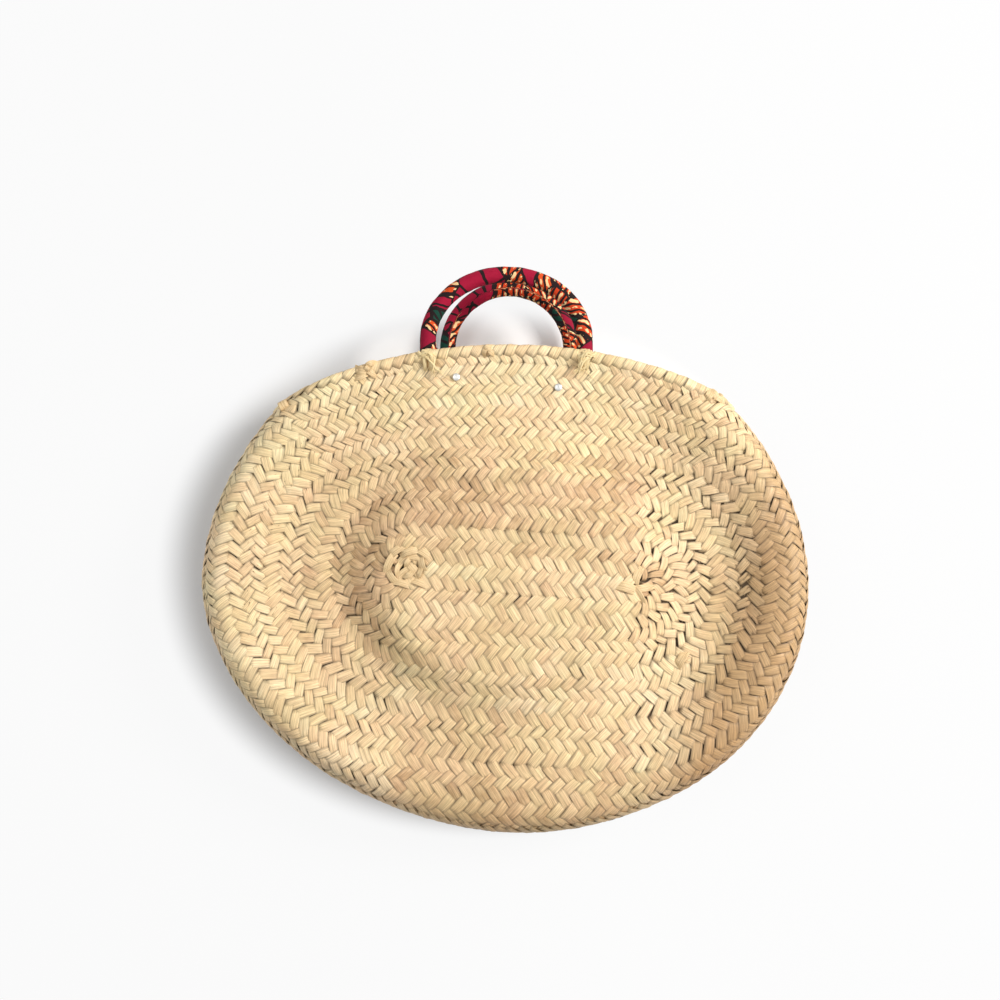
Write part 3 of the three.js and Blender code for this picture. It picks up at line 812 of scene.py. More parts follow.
def front_room(x, y, z):
    in_knot = math.dist((x, y), KNOT_MIDDLE) < KNOT_REACH
    below_seam = oval_share(x, y) > FOLD_FROM and z <= SEAM_HEIGHT - SEAM_OVERLAP
    return y < mouth_y(x) - LIP_ROOM and not below_seam and not in_knot


front_braid = coiled_braid(
    "front_panel_braid", *FRONT_COIL, front_skin, FRONT_INSET, front_room, FRONT_MOUTH_ROWS)
fasten(plait("front_panel_weave", *front_braid, straw, Seed=11), "straw", "front_panel")
add_in_painted_shade("front_panel_underlayer", shade_backing("front_shade_sheet", front_skin, UNDER_INSET, 0.986))


def strand_tree():
    """Strands of flat section swept along paths, with a little wrinkling."""
    tree, given = shape_tree("strand", "Strands", (
        ("Paths", "Geometry"), ("Width", "Float", 0.003), ("Thickness", "Float", 0.001), ("Sides", "Int", 12),
        ("Wrinkle", "Float", 0.0002), ("Wrinkle Size", "Float", 300.0), ("Seed", "Int", 1),
        ("Material", "Material")))
    curve = add_node(tree, "GeometryNodeMeshToCurve", {"Mesh": given["Paths"]})
    aimed = add_node(tree, "GeometryNodeSetCurveNormal", {
        "Curve": curve, "Normal": read_mark(tree, "facing", "FLOAT_VECTOR")}, mode="FREE")
    run = store_mark(tree, aimed, "run", add_node(tree, "GeometryNodeSplineParameter").outputs["Length"])
    ring = add_node(tree, "GeometryNodeCurvePrimitiveCircle", {"Resolution": given["Sides"], "Radius": 0.5})
    around = store_mark(tree, ring, "round", add_node(tree, "GeometryNodeSplineParameter").outputs["Factor"])
    section = add_node(tree, "GeometryNodeTransform", {
        "Geometry": around, "Scale": joined(tree, given["Thickness"], given["Width"], 1.0)})
    swept = add_node(tree, "GeometryNodeCurveToMesh", {
        "Curve": run, "Profile Curve": section, "Scale": read_mark(tree, "breadth"), "Fill Caps": True})
    rough = add_node(tree, "ShaderNodeTexNoise", {
        "Scale": given["Wrinkle Size"], "W": given["Seed"]}, noise_dimensions="4D")
    push = sum_up(tree, "MULTIPLY", sum_up(tree, "SUBTRACT", rough, 0.5), given["Wrinkle"])
    creased = add_node(tree, "GeometryNodeSetPosition", {
        "Geometry": swept, "Offset": scaled(tree, add_node(tree, "GeometryNodeInputNormal"), push)})
    smooth = add_node(tree, "GeometryNodeSetShadeSmooth", {"Geometry": creased})
    real = add_node(tree, "GeometryNodeRealizeInstances", {0: smooth})
    coated = add_node(tree, "GeometryNodeSetMaterial", {"Geometry": real, "Material": given["Material"]})
    add_node(tree, "NodeGroupOutput", {"Strands": coated})
    return tree


strand_maker = strand_tree()


def strands(name, paths, material, **sizes):
    """Swept strands. A path is its points, the way its flat side looks, and its breadths."""
    points, edges, facings, breadths = [], [], [], []
    for path, facing, breadth in paths:
        edges.extend((len(points) + i, len(points) + i + 1) for i in range(len(path) - 1))
        points.extend(tuple(np.array(point) * MM) for point in path)
        facings.append(np.broadcast_to(facing, (len(path), 3)))
        breadths.append(np.broadcast_to(breadth, len(path)))
    mesh = bpy.data.meshes.new(name + "_paths")
    mesh.from_pydata(points, edges, [])
    facings = np.concatenate(facings).astype(np.float32).ravel()
    mesh.attributes.new("facing", "FLOAT_VECTOR", "POINT").data.foreach_set("vector", facings)
    breadths = np.concatenate(breadths).astype(np.float32)
    mesh.attributes.new("breadth", "FLOAT", "POINT").data.foreach_set("value", breadths)
    values = {key.replace("_", " "): value for key, value in sizes.items()}
    return made_by(strand_maker, name, mesh, dict(values, Material=material))


def strand_material(name, stretch, detail, steps, roughness, strength, distance):
    """Fibres drawn out along a strand, from its own run and the way round it."""
    material, tree, sockets = new_paint(name, Roughness=roughness)
    place = joined(tree, mark_on(tree, "run")["Fac"], mark_on(tree, "round")["Fac"])
    fibre = noise(tree, vector_sum(tree, "MULTIPLY", place, stretch), 1.0, detail)
    feed(tree, colour_steps(tree, fibre, steps), sockets["Base Color"])
    raise_relief(tree, sockets, fibre, strength, distance)
    return material


# The braid starts at the left end of the middle, where its first strips are folded over one another
# into a small crumpled knot. A strip is its place, angle, length, breadth, lift and curl.
KNOT_STRIPS = (
    (-3.0, 4.5, 50.0, 17.0, 1.1, -0.2, 0.5),
    (5.0, -2.0, -48.0, 18.0, 1.1, -0.1, -0.5),
    (-1.5, -5.0, 36.0, 16.0, 1.0, 0.1, 0.5),
    (4.6, 6.2, -8.0, 15.0, 1.0, 0.2, 0.8),
    (1.9, 9.5, 18.0, 15.0, 0.95, 1.6, 1.0),
    (11.6, 1.3, -75.0, 13.0, 0.95, 1.2, -1.0),
    (-12.2, 2.1, 65.0, 16.0, 1.05, 1.0, 1.2),
    (-10.7, -8.3, -55.0, 13.0, 0.95, 0.8, -1.0),
    (-3.6, -13.6, -15.0, 14.0, 1.0, 0.8, 0.8),
    (0.2, -4.6, 28.0, 10.0, 0.8, 2.0, -2.6),
    (-5.9, -2.8, 80.0, 10.0, 0.7, 1.8, 1.4),
    (1.4, 2.0, 62.0, 9.0, 0.6, 1.9, 1.6),
    (8.2, -4.9, 70.0, 10.0, 0.7, 1.4, -1.2),
    (-7.7, 11.0, 35.0, 14.0, 1.05, 0.7, 0.6),
    (12.6, 8.5, -35.0, 13.0, 1.0, 0.6, 0.6),
    (8.8, -12.6, -20.0, 13.0, 1.05, 0.7, 0.5),
)
LOOSE_STRIPS = (
    (90.5, -5.0, -18.0, 16.0, 1.35, 0.9, 0.6),
    (99.0, 4.5, 68.0, 14.0, 1.1, 0.9, 0.8),
    (104.0, -4.0, 12.0, 14.0, 1.05, 0.8, -0.8),
    (99.5, -11.0, -60.0, 13.0, 1.0, 0.7, 0.6),
    (133.0, -58.5, 58.0, 15.0, 1.15, 2.0, 0.8),
)


def through(points, count):
    """A smooth line through a few points."""
    points = np.array(points, dtype=float)
    ends = np.concatenate([[2 * points[0] - points[1]], points, [2 * points[-1] - points[-2]]])
    line = []
    for share in np.linspace(0.0, len(points) - 1.0, count):
        k = min(int(share), len(points) - 2)
        t = share - k
        a, b, c, d = ends[k:k + 4]
        line.append(b + 0.5 * t * (c - a + t * (2 * a - 5 * b + 4 * c - d + t * (3 * (b - c) + d - a))))
    return np.array(line)


STRIP_DIVE = 0.9
STRIP_TILT = 0.35


def folded_strips(strips):
    """Short leaf strips that bow up from the front panel and go back into it at both ends."""
    paths = []
    for x, y, angle, length, breadth, lift, curl in strips:
        way = np.array([math.cos(math.radians(angle)), math.sin(math.radians(angle))])
        side = np.array([-way[1], way[0]])
        middle = np.array((x, y))
        tilt = STRIP_TILT * math.sin(3.0 * x + y)
        corners = []
        for share, height in ((-0.5, -STRIP_DIVE), (-0.2, lift), (0.15, lift), (0.5, -STRIP_DIVE)):
            x, y = middle + way * share * length + side * curl * (0.25 - share * share) * 4.0
            ground = float(front_skin(x, min(y, mouth_y(x) - UNDER_ROOM)))
            corners.append((x, y, MIDDLE_HEIGHT + ground + height))
        paths.append((through(corners, 13), np.array([side[0] * tilt, side[1] * tilt, 1.0]), breadth))
    return paths


KNOT_STEPS = ((0.34, (0.36, 0.23, 0.11)), (0.5, (0.70, 0.50, 0.26)), (0.68, (0.84, 0.64, 0.36)))
FOLDED_LEAF = {"Thickness": 0.0006, "Sides": 14, "Wrinkle": 0.0005}
knot_straw = strand_material("knot_straw", stretch=(70.0, 26.0, 1.0), detail=3.0, steps=KNOT_STEPS,
                             roughness=0.58, strength=0.4, distance=0.0004)
knot_strips = [(KNOT_MIDDLE[0] + x, KNOT_MIDDLE[1] + y, *rest) for x, y, *rest in KNOT_STRIPS]
fasten(strands("front_coil_knot", folded_strips(knot_strips + list(LOOSE_STRIPS)), knot_straw,
               Width=0.0057, **FOLDED_LEAF, Seed=15), "straw")

inside_straw = leaf_material("inside_straw", roughness=0.7, shade=0.5)
INSIDE = {"Side": -1.0, "Points Along": 6, "Points Across": 3}
INNER_LIP_ROOM = 8.0
INNER_LOWEST = -40.0
INNER_SEAM_OVERLAP = 5.0


def inner_room(x, y, z):
    return mouth_y(x) - INNER_LIP_ROOM > y > INNER_LOWEST and z > SEAM_HEIGHT - INNER_SEAM_OVERLAP


def add_inside(name, surface, spots, marks, **sizes):
    """The paler side of the weave, which faces the inside of the bag."""
    inner = plait(name, surface, spots, {"turn": marks["turn"]}, inside_straw, **INSIDE, **sizes)
    fasten(inner, "straw")


front_inner = coiled_braid(
    "front_inside_braid", *FRONT_COIL, front_skin, INNER_INSET, inner_room, FRONT_MOUTH_ROWS)
add_inside("front_panel_inside", *front_inner, Seed=12)


# Back panel: the other dished half, coiled from the same palm-leaf braid round its own straight
# middle. The bag lies on it, so its face is pressed flat.
BACK_COIL = ((-92.0, -6.0), (88.0, 4.0))
BACK_MOUTH_ROWS = 19
BACK_INSET = 1.0


def back_room(x, y, z):
    return y < mouth_y(x) - LIP_ROOM and z < SEAM_OVERLAP - SEAM_HEIGHT


def back_inner_room(x, y, z):
    return inner_room(x, y, -z)


back_braid = coiled_braid(
    "back_panel_braid", *BACK_COIL, back_skin, BACK_INSET, back_room, BACK_MOUTH_ROWS)
back_weave = plait("back_panel_weave", *back_braid, straw, **{"Points Along": 7, "Seed": 21})
fasten(back_weave, "straw", "back_panel")
add_in_painted_shade("back_panel_underlayer", shade_backing("back_shade_sheet", back_skin, UNDER_INSET, 0.966))
back_inner = coiled_braid(
    "back_inside_braid", *BACK_COIL, back_skin, INNER_INSET, back_inner_room, BACK_MOUTH_ROWS)
add_inside("back_panel_inside", *back_inner, Seed=22)


# Side band: a straight length of the same braid, five rows wide, that runs from one end of the mouth
# round the bottom to the other end and holds the two panels apart.
BAND_ROW = 8.6
BAND_ROWS = [(row - 2) * BAND_ROW for row in range(5)]
BAND_HALF_WIDTH = 31.0
BAND_SLANT = math.pi / 4
BAND_FLOAT = {"Length": 0.0164, "Width": 0.006}
BAND_ROOM, BAND_INNER_ROOM = 3.0, 4.0
BAND_ANGLES = np.radians(np.linspace(134.0, 406.0, 420))
BAND_UNDER_HALF_WIDTH = 24.0
EDGE_HEIGHTS = np.linspace(-33.0, 33.0, 133)


def edge_sheet(name, low, high, inset):
    """The outer wall from one end of the mouth to the other, between two distances from its middle line."""
    lengths = lengths_along(*oval_point(BAND_ANGLES, 1.0, inset))
    offsets = np.linspace(low, high, 22)
    fullness = 1.0 - (np.abs(EDGE_HEIGHTS) / (HALF_THICKNESS - inset)) ** (1.0 / SHOULDER)
    grid, band = [], []
    for angle, length in zip(BAND_ANGLES, lengths):
        front = front_flatness(*oval_point(angle, 1.0, inset))
        share = fullness ** (1.0 / np.where(EDGE_HEIGHTS >= 0.0, front, BACK_FLATNESS))
        x, y = oval_point(np.full(len(share), angle), share, inset)
        run = lengths_along(x, y, EDGE_HEIGHTS)
        run = run - run[len(run) // 2]
        sides = (x, y, EDGE_HEIGHTS + MIDDLE_HEIGHT)
        grid.append(np.stack([np.interp(offsets, run, side) for side in sides], axis=1))
        band.append(np.stack([np.full(len(offsets), length), offsets], axis=1))
    return sheet_mesh(name, grid, band), np.array(grid), lengths, offsets


def edge_braid(name, low, high, inset, middles, slant, room):
    """Rows of floats on the wall, each row slanting the other way than the last."""
    surface, grid, lengths, offsets = edge_sheet(name, low, high, inset)
    spots, turns = [], []
    for row, middle in enumerate(middles):
        for index in range(int(lengths[-1] / BAND_ROW)):
            along = (index + FLOAT_STARTS[row % 2]) * BAND_ROW
            column = min(int(np.searchsorted(lengths, along)), len(lengths) - 1)
            x, y = (np.interp(middle, offsets, grid[column, :, k]) for k in range(2))
            if y < mouth_y(x) - room:
                spots.append((along * MM, middle * MM, 0.0))
                turns.append(-slant if row % 2 else slant)
    return surface, spots, {"turn": turns}


side_braid = edge_braid(
    "side_band_surface", -BAND_HALF_WIDTH, BAND_HALF_WIDTH, FRONT_INSET, BAND_ROWS, BAND_SLANT, BAND_ROOM)
fasten(plait("side_band_weave", *side_braid, straw, **BAND_FLOAT, Seed=31), "straw", "side_band")

# a near-black sheet of painted shade under the side band's floats, cut back short of the mouth
side_shade_sheet = edge_sheet("side_shade_sheet", -BAND_UNDER_HALF_WIDTH, BAND_UNDER_HALF_WIDTH, UNDER_INSET)[0]
side_cut = bmesh.new()
side_cut.from_mesh(side_shade_sheet)
over_mouth = [face for face, flat in zip(side_cut.faces, side_shade_sheet.polygons)
              if flat.center.y / MM > mouth_y(flat.center.x / MM) - UNDER_ROOM]
bmesh.ops.delete(side_cut, geom=over_mouth, context="FACES")
side_cut.to_mesh(side_shade_sheet)
side_cut.free()
add_in_painted_shade("side_band_underlayer", side_shade_sheet)
side_inner = edge_braid("side_inside_surface", -BAND_HALF_WIDTH, BAND_HALF_WIDTH, INNER_INSET,
                        BAND_ROWS, BAND_SLANT, BAND_INNER_ROOM)
add_inside("side_band_inside", *side_inner, **BAND_FLOAT, Seed=32)


# Lacing cords: a leaf strip threaded through the edge loops of a panel and of the side band, which
# closes the seam and leaves a row of slightly larger, raised stitches along the fold.
LACING_HALF_WIDTH = 11.0
LACING_INSET = 0.3
LACING_ROOM = 6.0
LACING_STITCH = {"Length": 0.0158, "Width": 0.0066, "Rise": 0.0012, "Dive": 0.0022}
for side, level, seed in (("front", 21.6, 41), ("back", -22.4, 42)):
    top = min(level + LACING_HALF_WIDTH, EDGE_HEIGHTS[-1])
    seam = edge_braid(side + "_seam_surface", level - LACING_HALF_WIDTH, top, LACING_INSET,
                      [level], -BAND_SLANT, LACING_ROOM)
    lacing = plait(side + "_lacing", *seam, straw, **LACING_STITCH, Seed=seed)
    fasten(lacing, "straw", side + "_lacing_cord")


# Rims: the edge of each panel at the mouth, where the ends of the strips are folded over a bead of
# leaf and tucked back into the weave, so that the lip is a row of slanting rolls.
RIM_LEFT, RIM_RIGHT = -169.5, 168.0
RIM_INSET = 1.5
RIM_SECTION = np.array([
    (0.6, -13.0), (1.1, -9.5), (1.6, -6.5), (2.1, -3.8), (2.5, -1.6), (2.6, 0.2), (2.3, 1.6), (1.5, 2.6),
    (0.3, 3.1), (-1.0, 2.9), (-2.0, 2.0), (-2.4, 0.6), (-2.4, -1.6), (-2.0, -4.0), (-1.4, -7.0)])
RIM_TOP_OFFSET = 15.2
RIM_DROP, BEAD_DROP = 2.7, 2.9
RIM_MARGIN = 2.0
RIM_PLACES = (-150.0, -115.0, -75.0, 20.0, 150.0)
RIM_SLANTS = (30.0, 34.0, 58.0, 64.0, 76.0)
RIM_SLANT_PLAY, RIM_STEP_PLAY = 0.06, 0.25
STEP_SLANTS, SLANT_STEPS = (30.0, 60.0, 76.0), (10.4, 8.4, 7.8)
RIM_FLOAT = {"Length": 0.0180, "Width": 0.0084, "Rise": 0.0005, "Dive": 0.0016, "Edge": 0.0004,
             "Points Along": 15, "Points Across": 7}
BEAD_RADIUS = 2.2


def rim_line(left, right, count, drop, skin):
    """Points along a rim, and the way it runs at each."""
    xs = np.linspace(left, right, count)
    ys = mouth_y(xs) - drop
    middle = np.stack([xs, ys, skin(xs, ys, RIM_INSET) + MIDDLE_HEIGHT], axis=1)
    after = middle[np.minimum(np.arange(count) + 1, count - 1)]
    before = middle[np.maximum(np.arange(count) - 1, 0)]
    return middle, [way / np.linalg.norm(way) for way in after - before]


def across_rim(way, along):
    """A way square to the rim and as near as can be to the way given."""
    way = way / np.linalg.norm(way)
    way = way - along * way.dot(along)
    return way / np.linalg.norm(way)


def rim_sheet(name, skin, sign):
    """A lip that starts on the outer face, turns over the bead and comes down inside."""
    middle, ways = rim_line(RIM_LEFT, RIM_RIGHT, 260, RIM_DROP, skin)
    lengths = lengths_along(*middle.T)
    offsets = lengths_along(*RIM_SECTION.T)
    grid = []
    for place, along in zip(middle, ways):
        x, y = place[:2]
        slope_x = skin(x + 0.5, y - 1.0, RIM_INSET) - skin(x - 0.5, y - 1.0, RIM_INSET)
        slope_y = skin(x, y - 0.5, RIM_INSET) - skin(x, y - 1.5, RIM_INSET)
        out = across_rim(np.array([-slope_x, -slope_y, 1.0]) * sign, along)
        up = np.cross(along, out)
        up = -up if up[1] < 0 else up
        grid.append([place + out * a + up * b for a, b in RIM_SECTION])
    return sheet_mesh(name, grid, [[(length, offset) for offset in offsets] for length in lengths]), lengths


def rim_bead_mesh(name, skin):
    """The bundle of leaf inside the lip, as a plain round tube, coloured near black as painted shade."""
    ring = np.linspace(0.0, 2 * np.pi, 13)
    grid = []
    for place, along in zip(*rim_line(RIM_LEFT - 0.5, RIM_RIGHT + 0.5, 140, BEAD_DROP, skin)):
        out = across_rim(np.array([0.0, 0.0, 1.0]), along)
        up = np.cross(along, out)
        grid.append([place + BEAD_RADIUS * (out * math.cos(a) + up * math.sin(a)) for a in ring])
    return sheet_mesh(name, grid)


for side, skin, sign, seed in (("front", front_skin, 1.0, 51), ("back", back_skin, -1.0, 52)):
    rim_surface, rim_lengths = rim_sheet(side + "_rim_surface", skin, sign)
    chance = np.random.default_rng(seed)
    rim_spots, rim_turns = [], []
    rim_place = RIM_MARGIN
    while rim_place < rim_lengths[-1] - RIM_MARGIN:
        rim_x = RIM_LEFT + (RIM_RIGHT - RIM_LEFT) * rim_place / rim_lengths[-1]
        rim_slant = np.interp(rim_x, RIM_PLACES, RIM_SLANTS)
        rim_spots.append((rim_place * MM, RIM_TOP_OFFSET * MM, 0.0))
        rim_turns.append(sign * (math.radians(rim_slant) + chance.normal(0.0, RIM_SLANT_PLAY)))
        rim_place += np.interp(rim_slant, STEP_SLANTS, SLANT_STEPS) + chance.normal(0.0, RIM_STEP_PLAY)
    rim = plait(side + "_rim_lip", rim_surface, rim_spots, {"turn": rim_turns}, straw, **RIM_FLOAT, Seed=seed)
    fasten(rim, "straw", side + "_rim")
    # the bead takes the same near-black painted shade colour
    add_in_painted_shade(side + "_rim_bead", rim_bead_mesh(side + "_rim_bead", skin))


# Loose ends of the front rim: strips that stand out of the lip where they were tucked in, and a roll
# of leaf that closes its left end. Each is given by its place along the rim and across it.
RIM_ENDS = (
    (-107.0, -3.6, 168.0, 13.0, 1.2, 2.4, 0.8),
    (-101.0, -1.8, 25.0, 9.0, 0.8, 3.4, 1.2),
    (-104.5, -2.6, 60.0, 8.0, 0.7, 3.8, -1.2),
    (-108.5, -6.4, 200.0, 12.0, 1.1, 1.8, 0.8),
    (-100.5, -6.6, -35.0, 11.0, 0.9, 2.0, -0.8),
    (-13.0, -3.4, 20.0, 9.0, 0.8, 2.8, 0.8),
    (-10.5, -5.0, -40.0, 8.0, 0.7, 2.6, -0.8),
    (-15.0, -5.2, 70.0, 8.0, 0.7, 2.6, 0.8),
    (153.0, -4.6, 60.0, 10.0, 1.1, 2.4, -1.0),
    (157.0, -4.0, -62.0, 10.0, 1.0, 2.6, 1.2),
    (160.5, -5.6, -24.0, 9.0, 0.9, 2.2, 1.0),
    (162.0, -3.6, -70.0, 8.0, 0.8, 2.6, 1.4),
)
ROLL_PLACE = -167.5
ROLL_DROP = 4.6
ROLL_LIFT = 0.6
ROLL_TURNS = np.linspace(0.0, 3.4 * math.pi, 44)
ROLL_REACH = np.linspace(2.2, 3.9, 44)
ROLL_BREADTH = np.linspace(1.1, 1.5, 44)
UP = np.array([0.0, 0.0, 1.0])
rim_end_paths = folded_strips([(x, mouth_y(x) + y, *rest) for x, y, *rest in RIM_ENDS])
roll_top = mouth_y(ROLL_PLACE) - ROLL_DROP
roll_along = np.array([1.0, mouth_y(ROLL_PLACE + 1.0) - mouth_y(ROLL_PLACE), 0.0])
roll_along /= np.linalg.norm(roll_along)
roll_up = np.array([-roll_along[1], roll_along[0], 0.0])
roll_height = MIDDLE_HEIGHT + float(front_skin(ROLL_PLACE, roll_top)) + ROLL_LIFT
roll_looks = np.outer(np.cos(ROLL_TURNS), roll_up) + np.outer(np.sin(ROLL_TURNS), UP)
roll_points = np.array([ROLL_PLACE, roll_top, roll_height]) + roll_looks * ROLL_REACH[:, None]
rim_end_paths.append((roll_points, roll_looks, ROLL_BREADTH))
fasten(strands("front_rim_loose_ends", rim_end_paths, knot_straw,
               Width=0.0055, **FOLDED_LEAF, Seed=16), "straw")


# Corner ties: raffia wound round the two rims where they meet at each end of the mouth, knotted, and
# left with short frayed ends.
RAFFIA_STEPS = ((0.25, (0.60, 0.44, 0.20)), (0.48, (0.80, 0.63, 0.33)), (0.75, (0.89, 0.75, 0.45)))
raffia = strand_material("raffia", stretch=(90.0, 14.0, 1.0), detail=4.0, steps=RAFFIA_STEPS,
                         roughness=0.5, strength=0.5, distance=0.0003)
TIES = (
    ("left", (-172.0, 131.0, 39.5), (-0.72, 0.69, 0.0), 8),
    ("right", (170.3, 133.0, 39.5), (0.70, 0.71, 0.0), 14),
)


def loop_path(middle, first, second, reaches, skew, turns, seed):
    """A strand wound round a place: an oval that steps sideways as it goes."""
    chance = np.random.default_rng(seed)
    angle = np.linspace(0.0, 2 * np.pi * turns, int(26 * turns))
    side = np.cross(first, second)
    step = np.linspace(-0.5, 0.5, len(angle)) * skew
    wander = np.interp(angle, np.linspace(0, angle[-1], 9), chance.normal(0.0, 0.25, 9))
    points, looks = [], []
    for a, s, w in zip(angle, step, wander):
        radial = first * math.cos(a) * (reaches[0] + w) + second * math.sin(a) * (reaches[1] + w)
        points.append(middle + radial + side * s)
        looks.append(radial / np.linalg.norm(radial))
    return np.array(points), np.array(looks), 1.0


FIBRE_STEPS = np.linspace(0.0, 1.0, 8)
FIBRE_TAPER = np.linspace(1.0, 0.35, 8)
FIBRE_LOOK = np.array([0.2, 0.3, 1.0])
FIBRE_CURL = 0.35


def frayed_ends(middle, way, spread, count, length, seed, settle=None):
    """Loose fibres that leave a knot and curl, and settle on what is under them."""
    chance = np.random.default_rng(seed)
    way = np.array(way) / np.linalg.norm(way)
    paths = []
    for _ in range(count):
        aim = way + chance.normal(0.0, spread, 3)
        aim /= np.linalg.norm(aim)
        curl = chance.normal(0.0, FIBRE_CURL, 3)
        reach = length * chance.uniform(0.55, 1.15)
        start = middle + chance.normal(0.0, 0.7, 3)
        points = np.array([start + aim * reach * t + curl * reach * t * t for t in FIBRE_STEPS])
        if settle is not None:
            points[:, 2] = settle(points)
        paths.append((points, FIBRE_LOOK, FIBRE_TAPER * chance.uniform(0.5, 1.1)))
    return paths


for side, middle, way, fibres in TIES:
    middle, way = np.array(middle), np.array(way)
    along = np.array([way[1], -way[0], 0.0])
    coils = [
        loop_path(middle + way * 0.8, UP, way, reaches=(6.4, 5.0), skew=8.0, turns=4.2, seed=61),
        loop_path(middle - way * 0.4 + UP * 9.5, UP, way, reaches=(6.0, 4.4), skew=6.0, turns=3.2, seed=64),
        loop_path(middle - way * 1.5 + UP * 3.0, along, UP, reaches=(4.2, 3.6), skew=3.0, turns=1.6, seed=62),
    ]
    tie = strands(side + "_corner_winding", coils, raffia,
                  Width=0.0031, Thickness=0.0012, Wrinkle=0.0005, Seed=61)
    fasten(tie, "raffia", side + "_corner_tie")
    tuft = frayed_ends(middle - way * 4.0 + UP * 5.5, -way * 0.8 + UP * 0.25,
                       spread=0.35, count=fibres, length=9.0, seed=63)
    fasten(strands(side + "_corner_fray", tuft, raffia,
                   Width=0.0011, Thickness=0.0005, Sides=6, Wrinkle=0.0002, Seed=63), "raffia")


# Handles: two arches of rope in sewn sleeves of printed cotton, gathered a little on the inner
# curve. Each leg goes down into the rim.
SLEEVE_ROUND = 0.039
SLEEVE_WIDTH = 0.0124
LEG_DROPS = np.linspace(9.0, 1.0, 8)
ARCH_ANGLES = np.linspace(0.0, np.pi, 90)
ORANGE_FROM, GREEN_FROM = 0.36, 0.94
PRINT_GROUNDS = (
    (0.0, (0.28, 0.003, 0.027)),
    (0.20, (0.35, 0.004, 0.032)),
    (ORANGE_FROM, (0.60, 0.050, 0.009)),
    (0.70, (0.66, 0.075, 0.012)),
    (GREEN_FROM, (0.004, 0.045, 0.028)),
)
PRINT_WARP_SIZE = 60.0
PRINT_WARP = (0.008, 0.008, 0.0)
FIELDS_PER_METRE = (66.0, 50.0, 1.0)
STRIPE_LEAN = 1.9
STRIPES_PER_METRE, STRIPE_SHARE = 190.0, 0.36
VEINS_PER_METRE, VEIN_SHARE = 130.0, 0.24
VEINED_FROM = 0.25
OUTLINE_WIDTH = 0.078
DAB_MIDDLE, DAB_SIZE = 0.68, 210.0
DAB_WIDTHS = (0.46, 0.66, 0.0, 0.27)
THREADS_PER_METRE, THREAD_RELIEF = 2600.0, 0.12
CREASE_SIZE = 240.0
PRINT_DARK = (0.010, 0.003, 0.003, 1.0)
PRINT_CREAM = (0.88, 0.60, 0.29, 1.0)
HANDLES = (
    ("back", 3.4, 49.0, 49.0, 183.9, 14.1, 71),
    ("front", 0.8, 59.6, 51.0, 182.7, 64.1, 72),
)


def printed_cloth_material():
    """A resist print: crimson and orange fields with dark veins and stripes, and cream dabs between."""
    material, tree, sockets = new_paint("printed_cloth", Roughness=0.8, Specular_IOR_Level=0.22)

    def rule(operation, first, second):
        return sum_up(tree, operation, first, second)

    way_round = rule("MULTIPLY", mark_on(tree, "round")["Fac"], SLEEVE_ROUND)
    place = joined(tree, mark_on(tree, "run")["Fac"], way_round)
    warp = noise(tree, place, PRINT_WARP_SIZE).outputs["Color"]
    shift = vector_sum(tree, "MULTIPLY_ADD", warp, PRINT_WARP, place)

    # fields, and the distance to their outlines
    field_place = vector_sum(tree, "MULTIPLY", shift, FIELDS_PER_METRE)
    field, field_edge = (
        add_node(tree, "ShaderNodeTexVoronoi", {"Vector": field_place, "Scale": 1.0},
                 voronoi_dimensions="2D", feature=feature)
        for feature in ("F1", "DISTANCE_TO_EDGE"))
    kind, busy, slant = add_node(tree, "ShaderNodeSeparateColor", {0: field.outputs["Color"]}).outputs
    ground = colour_steps(tree, kind, PRINT_GROUNDS, "CONSTANT")
    orange = rule("GREATER_THAN", kind, ORANGE_FROM)
    crimson = rule("SUBTRACT", 1.0, orange)

    # stripes that lean their own way in each field
    angle = sum_up(tree, "MULTIPLY_ADD", slant, STRIPE_LEAN, -STRIPE_LEAN / 2)
    along, across, _ = parts_of(tree, shift)
    level = rule("ADD", rule("MULTIPLY", along, sum_up(tree, "COSINE", angle)),
                 rule("MULTIPLY", across, sum_up(tree, "SINE", angle)))
    close, wide = (sum_up(tree, "FRACT", rule("MULTIPLY", level, count))
                   for count in (STRIPES_PER_METRE, VEINS_PER_METRE))
    stripes = rule("MULTIPLY", orange, rule("LESS_THAN", close, STRIPE_SHARE))
    veins = rule("MULTIPLY", crimson, rule("LESS_THAN", wide, VEIN_SHARE))
    veins = rule("MULTIPLY", veins, rule("GREATER_THAN", busy, VEINED_FROM))
    outline = rule("LESS_THAN", field_edge, OUTLINE_WIDTH)
    dark = rule("MAXIMUM", outline, rule("MAXIMUM", stripes, veins))

    # dabs where the resist kept the dye off, drawn out between the stripes
    off_middle = sum_up(tree, "ABSOLUTE", rule("SUBTRACT", close, DAB_MIDDLE))
    dabs = rule("LESS_THAN", off_middle, ranged(tree, noise(tree, shift, DAB_SIZE, 1.0), *DAB_WIDTHS))
    cream = rule("MULTIPLY", dabs, rule("MULTIPLY", orange, rule("LESS_THAN", kind, GREEN_FROM)))
    inked = blended(tree, dark, ground, PRINT_DARK)
    feed(tree, blended(tree, cream, inked, PRINT_CREAM), sockets["Base Color"])

    # thread of the cotton and small creases
    thread = add_node(tree, "ShaderNodeTexChecker", {
        "Vector": scaled(tree, place, THREADS_PER_METRE), "Scale": 1.0}).outputs["Fac"]
    relief = sum_up(tree, "MULTIPLY_ADD", thread, THREAD_RELIEF, noise(tree, place, CREASE_SIZE, 3.0))
    raise_relief(tree, sockets, relief, strength=0.5, distance=0.0008)
    return material


